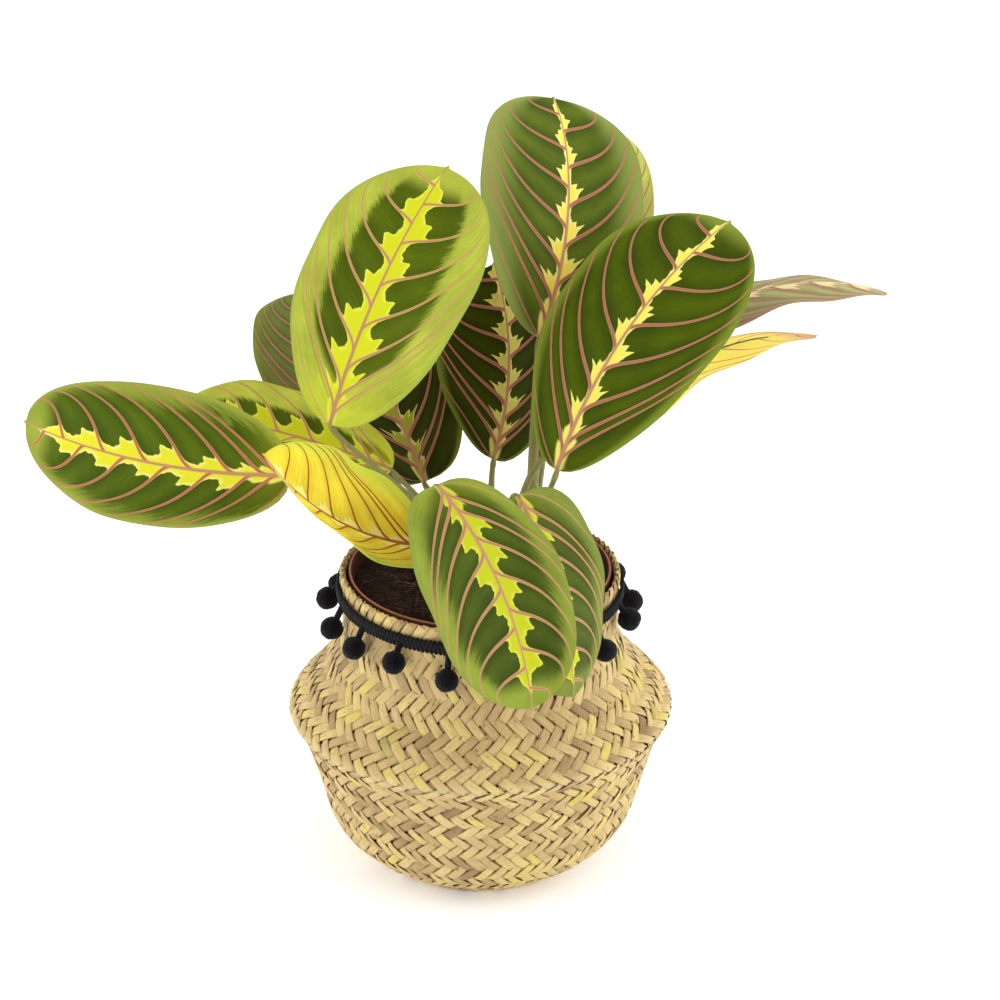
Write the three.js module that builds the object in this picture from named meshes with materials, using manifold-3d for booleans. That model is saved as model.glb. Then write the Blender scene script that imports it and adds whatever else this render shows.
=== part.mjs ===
// Potted prayer plant: a nursery pot of maranta standing in a seagrass belly basket trimmed with pompoms.
// Millimetres, +Z up. The origin is the centre of the basket's flat base, on the surface that it stands on.
import * as THREE from 'three';
import { mergeVertices } from 'three/addons/utils/BufferGeometryUtils.js';
import Module from 'manifold-3d';

const wasm = await Module();
wasm.setup();

// Basket: radius and height down its outside, from the rim to the fold at the belly, then on to the base.
const SHOULDER = [
  [63.4, 145], [63, 137], [62.7, 127], [62.8, 117], [65.2, 107], [70.7, 97], [80, 87], [88.9, 77],
];
const BOWL = [
  [88.9, 77], [83.4, 68], [80.5, 60], [77.6, 50], [74.7, 40], [72, 30], [67.9, 20], [60, 11.5], [45, 0],
];
const BASKET_WALL = 2.4;
const WEAVE_COLUMNS = 60;
const SHOULDER_ROWS = 12;
const BOWL_ROWS = 14;
const LINING_ROWS = 3;
const WEAVE_RELIEF = 0.5;

// Nursery pot: it stands on the basket's floor.
const CLEARANCE = 0.3;
const POT_FLOOR = BASKET_WALL + CLEARANCE;
const POT_WALL = 1.6;
const POT_BASE_RADIUS = 41;
const POT_SHOULDER = { radius: 56.6, height: 132.5 };
const POT_RIM = { radius: 60, height: 145, wall: 2.4, ledge: 1 };
const POT_SIDES = 36;

// Soil: it fills the pot to a little under the rim.
const SOIL_HEIGHT = 137;
const SOIL_CROWN = 2.5;
const SOIL_LUMP = 1.1;
const SOIL_SIDES = 24;
const SOIL_RINGS = 5;
const SOIL_SLACK = 0.4;
const STEM_DEPTH = 22;
const SOIL_TOP = SOIL_HEIGHT + SOIL_CROWN + SOIL_LUMP;

// Trim: a braid round the basket's neck, with a short tab down to each pompom.
const BRAID = { inner: 63.9, outer: 66, bottom: 132.5, top: 139.5, scallop: 0.5, rounding: 0.5, columns: 54 };
const POMPOM_COUNT = 18;
const POMPOM_RADIUS = 5.3;
const POMPOM_RING = 70.2;
const POMPOM_HEIGHT = 125.5;
const POMPOM_SWING = 2.2;
const FIRST_POMPOM = 157;
const POMPOM_CROWDING = 5;
const CROWDED_SIDE = 215;
const TAB_RADIUS = 1.2;
const TAB_SIDES = 4;
const TAB_ROOT = 2;

// Leaves: base is where the blade meets its stalk. heading, rise and roll turn the blade's middle: heading
// from +X towards +Y, rise above the level, roll about the midrib. droop bends the midrib down towards the
// tip and sweep bends it sideways. half gives the widths of the two halves, fold and cup lift them, twist
// turns the tip against the base, and fullness moves the widest place (over 1 is towards the tip). stem is
// where the stalk leaves the soil, stalk is its radius there, and upright is how far it keeps upright.
const LEAVES = [
  { base: [-66, -12, 221], heading: 48, rise: 52, roll: -13, length: 130, half: [44, 40], droop: 40,
    sweep: 0, fold: -1, cup: 5, twist: 4, fullness: 1.24, stem: [-5, -6], stalk: 1.9, upright: 30 },
  { base: [27, 30, 245], heading: 85, rise: 51, roll: -28, length: 121, half: [37, 46], droop: 54,
    sweep: 17, fold: 3, cup: 7, twist: -14, fullness: 1.39, stem: [23.4, 5], stalk: 4.4, upright: 45 },
  { base: [34, -28, 206], heading: 36, rise: 45, roll: -21, length: 140, half: [42, 39], droop: 47,
    sweep: -13, fold: -2, cup: 5, twist: 22, fullness: 1.43, stem: [21, -13], stalk: 2, upright: 30 },
  { base: [-84, -18, 199], heading: 166, rise: 6, roll: 71, length: 128, half: [36, 28], droop: 29,
    sweep: -21, fold: 6, cup: 10, twist: 37, fullness: 1.06, stem: [-15, -14], stalk: 2, upright: 30 },
  { base: [-22, -45, 177], heading: 198, rise: 37, roll: 27, length: 95, half: [29, 31], droop: -39,
    sweep: -30, fold: 23, cup: 13, twist: -13, fullness: 1.09, stem: [-9, -23], stalk: 1.8, upright: 30 },
  { base: [-18, -58, 213], heading: -53, rise: -50, roll: -4, length: 109, half: [38, 30], droop: 49,
    sweep: -11, fold: 3, cup: 8, twist: -7, fullness: 1.05, stem: [1, -24], stalk: 2, upright: 30 },
  { base: [17, -45, 202], heading: -52, rise: -65, roll: 6, length: 94, half: [34, 34], droop: 31,
    sweep: -10, fold: -12, cup: 3, twist: 19, fullness: 0.88, stem: [11, -21], stalk: 2, upright: 30 },
  { base: [6, 50, 176], heading: 90, rise: 64, roll: 18, length: 95, half: [33, 35], droop: 19,
    sweep: 45, fold: 13, cup: 16, twist: -6, fullness: 1.31, stem: [5, 16], stalk: 2.6, upright: 30 },
  { base: [-26, 42, 168], heading: 128, rise: 46, roll: 10, length: 106, half: [33, 32], droop: 24,
    sweep: 1, fold: 9, cup: 13, twist: 0, fullness: 1, stem: [-7, 15], stalk: 1.8, upright: 30 },
  { base: [-76, 62, 188], heading: 93, rise: 18, roll: 3, length: 99, half: [31, 31], droop: 26,
    sweep: 1, fold: 7, cup: 11, twist: 2, fullness: 1.1, stem: [-16, 12], stalk: 1.8, upright: 30 },
  { base: [-40, 12, 188], heading: 161, rise: 7, roll: 24, length: 109, half: [23, 32], droop: 25,
    sweep: -2, fold: 12, cup: 10, twist: 3, fullness: 1.08, stem: [-15, 3], stalk: 1.8, upright: 30 },
  { base: [80, 39, 236], heading: 17, rise: 7, roll: 10, length: 120, half: [31, 31], droop: 60,
    sweep: -4, fold: -10, cup: 12, twist: 4, fullness: 1, stem: [22, 15], stalk: 2, upright: 115 },
  { base: [56, 8, 203], heading: -10, rise: 32, roll: 34, length: 117, half: [30, 30], droop: 65,
    sweep: 4, fold: -9, cup: 12, twist: -11, fullness: 1, stem: [15, -4.5], stalk: 2, upright: 90 },
  { base: [37, 86, 215], heading: 58, rise: 62, roll: -13, length: 109, half: [33, 33], droop: 24,
    sweep: -3, fold: 5, cup: 10, twist: 0, fullness: 1.03, stem: [25, 26], stalk: 2, upright: 30 },
];
const BLADE_THICKNESS = 0.8;
const BLADE_ROWS = 12;
const BLADE_COLUMNS = 6;
const SPINE_STEPS = 48;
const MARGIN_WAVE = 1.3;
const WAVES_ALONG = 2.5;
const OVAL = { end: 0.985, squareness: 2.3, roundness: 0.56 };
const DRIP_TIP = { start: 0.9, width: 2 };
const BASE_LOBE = { depth: 0.03, power: 1.6, place: 0.1 };
const STALK_TIP_RADIUS = 1.15;
const STALK_SIDES = 5;
const STALK_STEPS = 8;
const STALK_NECK = { length: 8, lift: 0.9 };
const UNDER_BLADE = [0.05, 0.12, 0.2];
const UNDER_BLADE_TAPER = 0.55;

const rad = THREE.MathUtils.degToRad;

// A closed solid from rings of points: quads between neighbouring rings, and a fan over each end unless the
// rings close on themselves. mirrored(column) picks the other diagonal of a quad.
function loft(rings, { endless = false, mirrored = () => false } = {}) {
  const width = rings[0].length;
  const points = rings.flat();
  const faces = [];
  const last = endless ? rings.length : rings.length - 1;
  for (let i = 0; i < last; i++) {
    const here = i * width;
    const next = ((i + 1) % rings.length) * width;
    for (let j = 0; j < width; j++) {
      const k = (j + 1) % width;
      if (mirrored(j)) faces.push(here + j, here + k, next + j, here + k, next + k, next + j);
      else faces.push(here + j, here + k, next + k, here + j, next + k, next + j);
    }
  }
  if (!endless) {
    for (const [start, turn] of [[0, -1], [(rings.length - 1) * width, 1]]) {
      const middle = new THREE.Vector3();
      for (let j = 0; j < width; j++) middle.addScaledVector(points[start + j], 1 / width);
      const centre = points.push(middle) - 1;
      for (let j = 0; j < width; j++) {
        const k = (j + 1) % width;
        if (turn > 0) faces.push(start + j, start + k, centre);
        else faces.push(start + k, start + j, centre);
      }
    }
  }
  return facingOut(new THREE.BufferGeometry().setFromPoints(points).setIndex(faces));
}

// The same geometry with its faces turned round if they point inwards.
function facingOut(geometry) {
  const position = geometry.getAttribute('position');
  const index = geometry.index.array;
  const corner = [new THREE.Vector3(), new THREE.Vector3(), new THREE.Vector3()];
  let volume = 0;
  for (let i = 0; i < index.length; i += 3) {
    corner.forEach((point, k) => point.fromBufferAttribute(position, index[i + k]));
    volume += corner[0].dot(corner[1].cross(corner[2]));
  }
  if (volume < 0) index.reverse();
  return geometry;
}

function toSolid(geometry) {
  const plain = geometry.clone();
  plain.deleteAttribute('normal');
  plain.deleteAttribute('uv');
  const merged = mergeVertices(plain);
  return new wasm.Manifold(new wasm.Mesh({
    numProp: 3,
    vertProperties: merged.getAttribute('position').array,
    triVerts: new Uint32Array(merged.index.array),
  }));
}

function toGeometry(solid) {
  const mesh = solid.getMesh();
  return new THREE.BufferGeometry()
    .setAttribute('position', new THREE.BufferAttribute(new Float32Array(mesh.vertProperties), 3))
    .setIndex(new THREE.BufferAttribute(new Uint32Array(mesh.triVerts), 1));
}

function joined(first, ...rest) {
  return toGeometry(rest.reduce((all, piece) => all.add(toSolid(piece)), toSolid(first)));
}

function cut(body, tools) {
  return toGeometry(tools.reduce((left, tool) => left.subtract(toSolid(tool)), toSolid(body)));
}

function ring(radius, height, sides, relief = () => 0) {
  return Array.from({ length: sides }, (_, i) => {
    const angle = (2 * Math.PI * i) / sides;
    const r = radius + relief(i);
    return new THREE.Vector3(r * Math.cos(angle), r * Math.sin(angle), height);
  });
}

// Points spread evenly along a smooth line through a profile's corners, both ends included.
function alongProfile(profile, steps) {
  const line = new THREE.SplineCurve(profile.map(([r, z]) => new THREE.Vector2(r, z)));
  return line.getSpacedPoints(steps);
}

// A round tube along a list of points, with a radius for each.
function tube(path, radii, sides) {
  const across = new THREE.Vector3(1, 0, 0);
  const rings = path.map((point, i) => {
    const ahead = path[Math.min(i + 1, path.length - 1)].clone().sub(path[Math.max(i - 1, 0)]).normalize();
    across.addScaledVector(ahead, -across.dot(ahead)).normalize();
    const side = ahead.clone().cross(across);
    return Array.from({ length: sides }, (_, k) => {
      const angle = (2 * Math.PI * k) / sides;
      return point.clone()
        .addScaledVector(across, radii[i] * Math.cos(angle))
        .addScaledVector(side, radii[i] * Math.sin(angle));
    });
  });
  return loft(rings);
}

// The basket: woven outside, folded out at the belly, with a plain lining down to a flat floor.
function basketGeometry() {
  const shoulder = alongProfile(SHOULDER, SHOULDER_ROWS);
  const bowl = alongProfile(BOWL, BOWL_ROWS);
  const woven = [...shoulder, ...bowl.slice(1)].reverse();
  const outside = woven.map(({ x, y }, row) => {
    const plain = row === 0 || row === woven.length - 1;
    const bricks = (column) => ((column + row) % 2 ? WEAVE_RELIEF : -WEAVE_RELIEF);
    return ring(x, y, WEAVE_COLUMNS, plain ? undefined : bricks);
  });
  const lining = [...alongProfile(SHOULDER, LINING_ROWS), ...alongProfile(BOWL, LINING_ROWS).slice(1)];
  const inside = lining.map(({ x, y }) => ring(x - BASKET_WALL, Math.max(y, BASKET_WALL), WEAVE_COLUMNS));
  return loft([...outside, ...inside]);
}

function potGeometry() {
  const { radius, height, wall, ledge } = POT_RIM;
  const outside = [
    [0, POT_FLOOR], [POT_BASE_RADIUS, POT_FLOOR],
    [POT_SHOULDER.radius, POT_SHOULDER.height], [radius, POT_SHOULDER.height + ledge], [radius, height],
  ];
  const inside = [
    [radius - wall, height], [radius - wall, POT_SHOULDER.height + 2 * ledge],
    [POT_SHOULDER.radius - POT_WALL, POT_SHOULDER.height],
    [POT_BASE_RADIUS - POT_WALL, POT_FLOOR + POT_WALL], [0, POT_FLOOR + POT_WALL],
  ];
  const profile = [...outside, ...inside].map(([r, z]) => new THREE.Vector2(r, z));
  return new THREE.LatheGeometry(profile, POT_SIDES).rotateX(Math.PI / 2);
}

// Soil with a lumpy crown and a plain hole for each stalk.
function soilGeometry() {
  const random = seeded(7);
  const floor = POT_FLOOR + POT_WALL + CLEARANCE;
  const wallAt = (z) => {
    const share = (z - POT_FLOOR) / (POT_SHOULDER.height - POT_FLOOR);
    const outside = THREE.MathUtils.lerp(POT_BASE_RADIUS, POT_SHOULDER.radius, share);
    return outside - POT_WALL - SOIL_SLACK - CLEARANCE;
  };
  const seat = POT_SHOULDER.height + 2 * POT_RIM.ledge + CLEARANCE;
  const edge = POT_RIM.radius - POT_RIM.wall - SOIL_SLACK - CLEARANCE;
  const rings = [
    ring(wallAt(floor), floor, SOIL_SIDES),
    ring(wallAt(POT_SHOULDER.height), POT_SHOULDER.height, SOIL_SIDES),
    ring(edge, seat, SOIL_SIDES),
    ring(edge, SOIL_HEIGHT, SOIL_SIDES),
  ];
  for (let i = SOIL_RINGS; i > 0; i--) {
    const share = i / (SOIL_RINGS + 1);
    const crown = SOIL_HEIGHT + SOIL_CROWN * (1 - share * share);
    const lumpy = ring(edge * share, crown, SOIL_SIDES);
    lumpy.forEach((point) => { point.z += SOIL_LUMP * (2 * random() - 1); });
    rings.push(lumpy);
  }
  const holes = LEAVES.map(({ stem: [x, y], stalk }) => {
    const foot = new THREE.Vector3(x, y, SOIL_HEIGHT - STEM_DEPTH - CLEARANCE);
    const mouth = foot.clone().setZ(2 * SOIL_TOP - SOIL_HEIGHT);
    return tube([foot, mouth], [stalk + CLEARANCE, stalk + CLEARANCE], STALK_SIDES);
  });
  return cut(loft(rings), holes);
}

// A repeatable stream of numbers from 0 to 1.
function seeded(seed) {
  let state = seed;
  return () => {
    state = (state * 16807) % 2147483647;
    return state / 2147483647;
  };
}

// Pompom centres: evenly round but a little closer on one side, and none hangs quite like the next.
function pompomCentre(k) {
  const evenly = FIRST_POMPOM + (360 / POMPOM_COUNT) * k;
  const angle = rad(evenly + POMPOM_CROWDING * (1 - Math.cos(rad(evenly - CROWDED_SIDE))));
  const height = POMPOM_HEIGHT - POMPOM_SWING * Math.cos(2.4 * (k - 5));
  return new THREE.Vector3(POMPOM_RING * Math.cos(angle), POMPOM_RING * Math.sin(angle), height);
}

function braidGeometry() {
  const { inner, outer, bottom, top, scallop, rounding, columns } = BRAID;
  const middle = (bottom + top) / 2;
  const section = (column) => {
    const swing = column % 2 ? scallop : 0;
    const [low, high, edge] = [bottom + swing, top - swing, outer - rounding];
    return [[inner, bottom], [edge, low], [outer, middle], [edge, high], [inner, top]];
  };
  const rings = Array.from({ length: columns }, (_, i) => {
    const angle = (2 * Math.PI * i) / columns;
    return section(i).map(([r, z]) => new THREE.Vector3(r * Math.cos(angle), r * Math.sin(angle), z));
  });
  const tabs = Array.from({ length: POMPOM_COUNT }, (_, k) => {
    const centre = pompomCentre(k);
    const start = centre.clone().setZ(0).setLength((inner + outer) / 2).setZ(bottom + TAB_ROOT);
    const end = start.clone().sub(centre).setLength(POMPOM_RADIUS + CLEARANCE).add(centre);
    return tube([start, end], [TAB_RADIUS, TAB_RADIUS], TAB_SIDES);
  });
  return joined(loft(rings, { endless: true }), ...tabs);
}

function pompomGeometry(k) {
  const ball = new THREE.IcosahedronGeometry(POMPOM_RADIUS, 1);
  return ball.translate(...pompomCentre(k).toArray());
}

// The blade's midrib, walked from base to tip in small steps, and its three directions at each share s of it.
function spineOf(leaf) {
  const [heading, rise, roll] = [leaf.heading, leaf.rise, leaf.roll].map(rad);
  const along = new THREE.Vector3(Math.cos(heading), Math.sin(heading), Math.tan(rise)).normalize();
  const level = new THREE.Vector3(-Math.sin(heading), Math.cos(heading), 0);
  const upright = along.clone().cross(level);
  const up = upright.clone().multiplyScalar(Math.cos(roll)).addScaledVector(level, Math.sin(roll));
  const side = level.clone().multiplyScalar(Math.cos(roll)).addScaledVector(upright, -Math.sin(roll));
  const directions = (s) => {
    const dip = rad(leaf.droop) * (0.5 - s);
    const yaw = rad(leaf.sweep) * (s - 0.5);
    const turn = rad(leaf.twist) * (s - 0.5);
    const ahead = along.clone().multiplyScalar(Math.cos(dip) * Math.cos(yaw))
      .addScaledVector(side, Math.cos(dip) * Math.sin(yaw)).addScaledVector(up, Math.sin(dip));
    const across = along.clone().multiplyScalar(-Math.sin(yaw)).addScaledVector(side, Math.cos(yaw));
    const out = ahead.clone().cross(across);
    return {
      ahead,
      across: across.clone().multiplyScalar(Math.cos(turn)).addScaledVector(out, -Math.sin(turn)),
      out: out.clone().multiplyScalar(Math.cos(turn)).addScaledVector(across, Math.sin(turn)),
    };
  };
  const stops = [new THREE.Vector3(...leaf.base)];
  for (let i = 0; i < SPINE_STEPS; i++) {
    const step = directions((i + 0.5) / SPINE_STEPS).ahead.multiplyScalar(leaf.length / SPINE_STEPS);
    stops.push(stops[i].clone().add(step));
  }
  const place = (s) => {
    const at = THREE.MathUtils.clamp(s, 0, 1) * SPINE_STEPS;
    const i = Math.min(Math.floor(at), SPINE_STEPS - 1);
    const point = stops[i].clone().lerp(stops[i + 1], at - i);
    return s < 0 ? point.addScaledVector(directions(s).ahead, s * leaf.length) : point;
  };
  return { place, directions };
}

// The share of the half width at s along the midrib: a long oval with a short drip tip.
function ovalShare(s, fullness) {
  const e = Math.min(s / OVAL.end, 1) ** fullness;
  const oval = Math.max(0, 1 - Math.abs(2 * e - 1) ** OVAL.squareness) ** OVAL.roundness;
  return Math.max(oval, s > DRIP_TIP.start ? DRIP_TIP.width * (1 - s) : 0);
}

// A point of the blade: s from base to tip, v from -1 to 1 across, lift above the middle of the blade.
function bladePoint(leaf, spine, s, v, lift) {
  const away = Math.abs(v);
  const near = s / BASE_LOBE.place;
  const share = s - BASE_LOBE.depth * away ** BASE_LOBE.power * near * Math.exp(1 - near);
  const half = leaf.half[v > 0 ? 1 : 0] * ovalShare(s, leaf.fullness);
  const fold = rad(leaf.fold);
  const cup = rad(leaf.cup);
  const reach = (Math.sin(fold + cup * away) - Math.sin(fold)) / cup;
  const climb = (Math.cos(fold) - Math.cos(fold + cup * away)) / cup;
  const phase = rad(leaf.heading + (v > 0 ? 90 : 0));
  const ripple = Math.sin(2 * Math.PI * WAVES_ALONG * s + phase) * Math.sin(Math.PI * s);
  const wave = MARGIN_WAVE * away ** 3 * ripple;
  const { across, out } = spine.directions(share);
  return spine.place(share).addScaledVector(across, Math.sign(v) * half * reach)
    .addScaledVector(out, half * climb + wave + lift);
}

// One leaf: the waved blade and, grown into it, the stalk that runs on under the midrib. The rows of the
// blade lie closer together towards its base and tip. The stalk's neck comes to the blade from below it.
function leafGeometry(leaf) {
  const spine = spineOf(leaf);
  const half = BLADE_THICKNESS / 2;
  const shares = Array.from({ length: BLADE_ROWS }, (_, i) => (
    0.5 - 0.5 * Math.cos((Math.PI * (i + 0.2)) / (BLADE_ROWS - 0.6))
  ));
  const columns = Array.from({ length: BLADE_COLUMNS + 1 }, (_, j) => (2 * j) / BLADE_COLUMNS - 1);
  const rings = shares.map((s) => [
    ...columns.map((v) => bladePoint(leaf, spine, s, v, half)),
    ...columns.toReversed().map((v) => bladePoint(leaf, spine, s, v, -half)),
  ]);
  const blade = loft(rings, { mirrored: (column) => column > BLADE_COLUMNS });

  const below = (s) => spine.place(s).addScaledVector(spine.directions(s).out, -half);
  const [x, y] = leaf.stem;
  const foot = new THREE.Vector3(x, y, SOIL_TOP + 1);
  const { ahead } = spine.directions(0);
  const neck = spine.place(0).sub(ahead.setZ(ahead.z + STALK_NECK.lift).setLength(STALK_NECK.length));
  const rise = new THREE.CubicBezierCurve3(foot, foot.clone().setZ(SOIL_TOP + leaf.upright), neck, below(0));
  const root = foot.clone().setZ(SOIL_HEIGHT - STEM_DEPTH);
  const path = [root, ...rise.getPoints(STALK_STEPS), ...UNDER_BLADE.map(below)];
  const radii = path.map((_, i) => {
    const risen = THREE.MathUtils.clamp((i - 1) / STALK_STEPS, 0, 1);
    const tail = Math.max(0, i - 1 - STALK_STEPS) / UNDER_BLADE.length;
    const radius = THREE.MathUtils.lerp(leaf.stalk, STALK_TIP_RADIUS, Math.sqrt(risen));
    return radius * (1 - UNDER_BLADE_TAPER * tail);
  });
  return joined(blade, tube(path, radii, STALK_SIDES));
}

const FINISHES = {
  basket: { color: 0xcdb26e, roughness: 0.8 },
  pot: { color: 0xa65a3a, roughness: 0.5 },
  soil: { color: 0x2a1a12, roughness: 1 },
  trim: { color: 0x16161c, roughness: 0.95 },
  greenLeaf: { color: 0x4f7a1c, roughness: 0.45 },
  yellowLeaf: { color: 0xd8d21c, roughness: 0.45 },
};
const YELLOW_LEAVES = [5, 13];

const plant = new THREE.Group();

function addPiece(name, geometry, finish) {
  const material = new THREE.MeshStandardMaterial({ metalness: 0, ...finish });
  const mesh = new THREE.Mesh(geometry, material);
  mesh.name = name;
  plant.add(mesh);
}

const numbered = (name, number) => name + '_' + String(number).padStart(2, '0');

addPiece('basket', basketGeometry(), FINISHES.basket);
addPiece('nursery_pot', potGeometry(), FINISHES.pot);
addPiece('soil', soilGeometry(), FINISHES.soil);
addPiece('trim_braid', braidGeometry(), FINISHES.trim);
for (let k = 0; k < POMPOM_COUNT; k++) addPiece(numbered('pompom', k + 1), pompomGeometry(k), FINISHES.trim);
LEAVES.forEach((leaf, i) => {
  const finish = YELLOW_LEAVES.includes(i + 1) ? FINISHES.yellowLeaf : FINISHES.greenLeaf;
  addPiece(numbered('leaf', i + 1), leafGeometry(leaf), finish);
});

export default plant;
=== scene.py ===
# %% [markdown]
# A potted prayer plant in a seagrass belly basket.
#
# This lesson dresses a finished set of solids. The solids say where every piece is and how big it is. Here
# each one gets the shape and finish that the real thing has: plaited strips, yarn, soil, and leaves whose
# pattern follows their veins. Lengths are worked out in millimetres and turned to metres at the end.

# %% Load the solids
import bisect
import math
import random
from functools import partial
from math import cos, exp, pi, radians, sin, sqrt

import bmesh
import bpy
from mathutils import Matrix, Vector, noise


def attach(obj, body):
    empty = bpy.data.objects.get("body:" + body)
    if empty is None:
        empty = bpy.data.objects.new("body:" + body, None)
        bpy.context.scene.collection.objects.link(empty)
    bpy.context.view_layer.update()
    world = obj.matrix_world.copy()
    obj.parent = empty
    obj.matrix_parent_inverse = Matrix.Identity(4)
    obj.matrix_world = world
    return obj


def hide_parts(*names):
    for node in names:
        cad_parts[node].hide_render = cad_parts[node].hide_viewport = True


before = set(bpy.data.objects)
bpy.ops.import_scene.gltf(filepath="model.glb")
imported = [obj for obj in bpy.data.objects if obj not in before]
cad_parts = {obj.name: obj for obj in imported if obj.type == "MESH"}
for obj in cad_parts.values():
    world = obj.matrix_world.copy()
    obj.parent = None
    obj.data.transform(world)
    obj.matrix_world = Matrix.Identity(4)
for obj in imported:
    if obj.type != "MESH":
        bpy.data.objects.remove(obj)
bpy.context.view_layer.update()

print("solids:", len(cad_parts))

# %% [markdown]
# Colours and nodes.
#
# Colours are written as the hex codes that a paint program shows. Blender computes with linear light, so one
# function turns them. Every material is a chain of nodes, and one small function adds a node, sets it and
# links it, which keeps each chain readable from top to bottom.

# %% Colour and node helpers
MM = 0.001
WELD = 0.001 * MM  # vertices nearer than this are one
UPRIGHT = {"cent": (0, 0, 0), "axis": (0, 0, 1)}  # what a spin turns round


def linear(code):
    """A hex colour as the linear red, green, blue and alpha that the nodes compute with."""
    shares = [int(code[i:i + 2], 16) / 255 for i in (1, 3, 5)]
    return [c / 12.92 if c <= 0.04045 else ((c + 0.055) / 1.055) ** 2.4 for c in shares] + [1.0]


def add_node(material, kind, *inputs, **settings):
    """Adds one node. The inputs are in the order of its sockets, or in one dict by their names.

    Each is a number, a hex colour, a socket, or a node whose first output is meant. Map Range takes a value,
    the low and high end that it comes from, and the ends that it goes to.
    """
    node = material.node_tree.nodes.new("ShaderNode" + kind)
    for name, value in settings.items():
        setattr(node, name, value)
    named = inputs[0] if inputs and isinstance(inputs[0], dict) else dict(enumerate(inputs))
    for name, value in named.items():
        if isinstance(value, bpy.types.Node):
            value = value.outputs[0]
        if isinstance(value, bpy.types.NodeSocket):
            material.node_tree.links.new(value, node.inputs[name])
        else:
            node.inputs[name].default_value = linear(value) if isinstance(value, str) else value
    return node


def add_stops(node, stops):
    """Sets the stops of a Color Ramp: places with a hex colour, or with a number for a grey."""
    ramp = node.color_ramp
    while len(ramp.elements) < len(stops):
        ramp.elements.new(1.0)
    for element, (place, value) in zip(ramp.elements, stops):
        element.position = place
        element.color = linear(value) if isinstance(value, str) else (value, value, value, 1.0)
    return node


def finish_colour(material, surface, colour, relief=None, relief_height=0.0):
    """Links the colour, and a relief of some height in metres, to the shader. Gives the finished material."""
    links = material.node_tree.links
    links.new(colour.outputs[0], surface.inputs["Base Color"])
    if relief:
        bump = add_node(material, "Bump", {"Strength": 1.0, "Distance": relief_height, "Height": relief})
        links.new(bump.outputs[0], surface.inputs["Normal"])
    return material


def new_material(name, **values):
    """A material with constant values on its shader. Gives what adds its nodes and what finishes it."""
    material = bpy.data.materials.new(name)
    material.use_nodes = True
    surface = material.node_tree.nodes["Principled BSDF"]
    for socket, value in values.items():
        surface.inputs[socket.replace("_", " ").title().replace("Ior", "IOR")].default_value = value
    return partial(add_node, material), partial(finish_colour, material, surface)


def speckled_material(name, tones, relief_height, speckles, **values):
    """A material whose tone and relief follow one noise on Object coordinates."""
    node, finish = new_material(name, **values)
    noise_node = node("TexNoise", {"Vector": node("TexCoord").outputs["Object"], **speckles})
    ramp = add_stops(node("ValToRGB", noise_node), tones)
    return finish(ramp, noise_node if relief_height else None, relief_height)


def add_object(name, data):
    """A new object in the scene for a mesh, a light or a camera."""
    made = bpy.data.objects.new(name, data)
    bpy.context.scene.collection.objects.link(made)
    return made


def mesh_object(name, bm, materials):
    """Writes the bmesh to the mesh of a new object."""
    mesh = bpy.data.meshes.new(name)
    bm.to_mesh(mesh)
    bm.free()
    for material in materials:
        mesh.materials.append(material)
    return add_object(name, mesh)


print("helpers ready")

# %% [markdown]
# From a bmesh to a piece.
#
# Each piece is a bmesh that is written to one object at the origin. It rides on the plant's one body and
# stands for the plain solids that it replaces.


# %% Piece helper
def make_piece(name, bm, materials, stands_for, smooth_angle=40):
    """Makes a smooth piece of the bmesh, sharp past an angle, and says which solids it stands for."""
    piece = mesh_object(name, bm, materials)
    mesh = piece.data
    mesh.polygons.foreach_set("use_smooth", [True] * len(mesh.polygons))
    mesh.set_sharp_from_angle(angle=radians(smooth_angle))
    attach(piece, "root")
    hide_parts(*stands_for)
    triangles = sum(len(polygon.vertices) - 2 for polygon in mesh.polygons)
    print(name, "triangles:", triangles)


def numbered(name, number):
    """A name with a number of two digits, as the solids have."""
    return f"{name}_{number:02d}"


def around(radius, angle, height):
    """A point from its distance to the upright axis, its angle and its height."""
    return Vector((radius * cos(angle), radius * sin(angle), height))


print("first pompom's name:", numbered("pompom", 1))

# %% [markdown]
# The camera and the studio.
#
# The photograph was taken from a little above, with a long lens, on a white ground. A white surround that is
# dimmer towards the front, as an open studio is, and a large soft light on each side give the same mild
# shading. The pale floor catches only a faint shadow.

# %% Camera
CAMERA_PLACE = Vector((9.1, -1266.8, 774.6)) * MM
CAMERA_TILT = 64.8
CAMERA_LENS = 111.7

camera_data = bpy.data.cameras.new("camera")
camera_data.lens = CAMERA_LENS
camera_data.sensor_width = 36
camera = add_object("camera", camera_data)
camera.location = CAMERA_PLACE
camera.rotation_euler = (radians(CAMERA_TILT), 0, 0)
bpy.context.scene.camera = camera
bpy.context.scene.view_settings.view_transform = "Standard"
print("camera lens:", camera_data.lens)

# %% Light and floor
SURROUND_STRENGTH = 1.08
FRONT_STRENGTH = 0.53
# Each light: place in metres, width in metres, power in watts.
LIGHTS = {"soft_key": ((1.5, -0.45, 0.9), 1.6, 16.5), "soft_fill": ((-1.5, -0.5, 0.8), 1.6, 14.0)}
LIGHT_AIM = Vector((0, 0, 0.15))
FLOOR_HALF = 6.0
FLOOR_GLOW = 0.22

world = bpy.data.worlds.new("white_surround")
world.use_nodes = True
node = partial(add_node, world)
direction = node("SeparateXYZ", node("TexCoord").outputs["Generated"])
strength = node("MapRange", direction.outputs["Y"], -0.9, 0.1, FRONT_STRENGTH, SURROUND_STRENGTH)
background = world.node_tree.nodes["Background"]
background.inputs["Color"].default_value = linear("#FFFFFF")
world.node_tree.links.new(strength.outputs[0], background.inputs["Strength"])
bpy.context.scene.world = world

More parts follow.
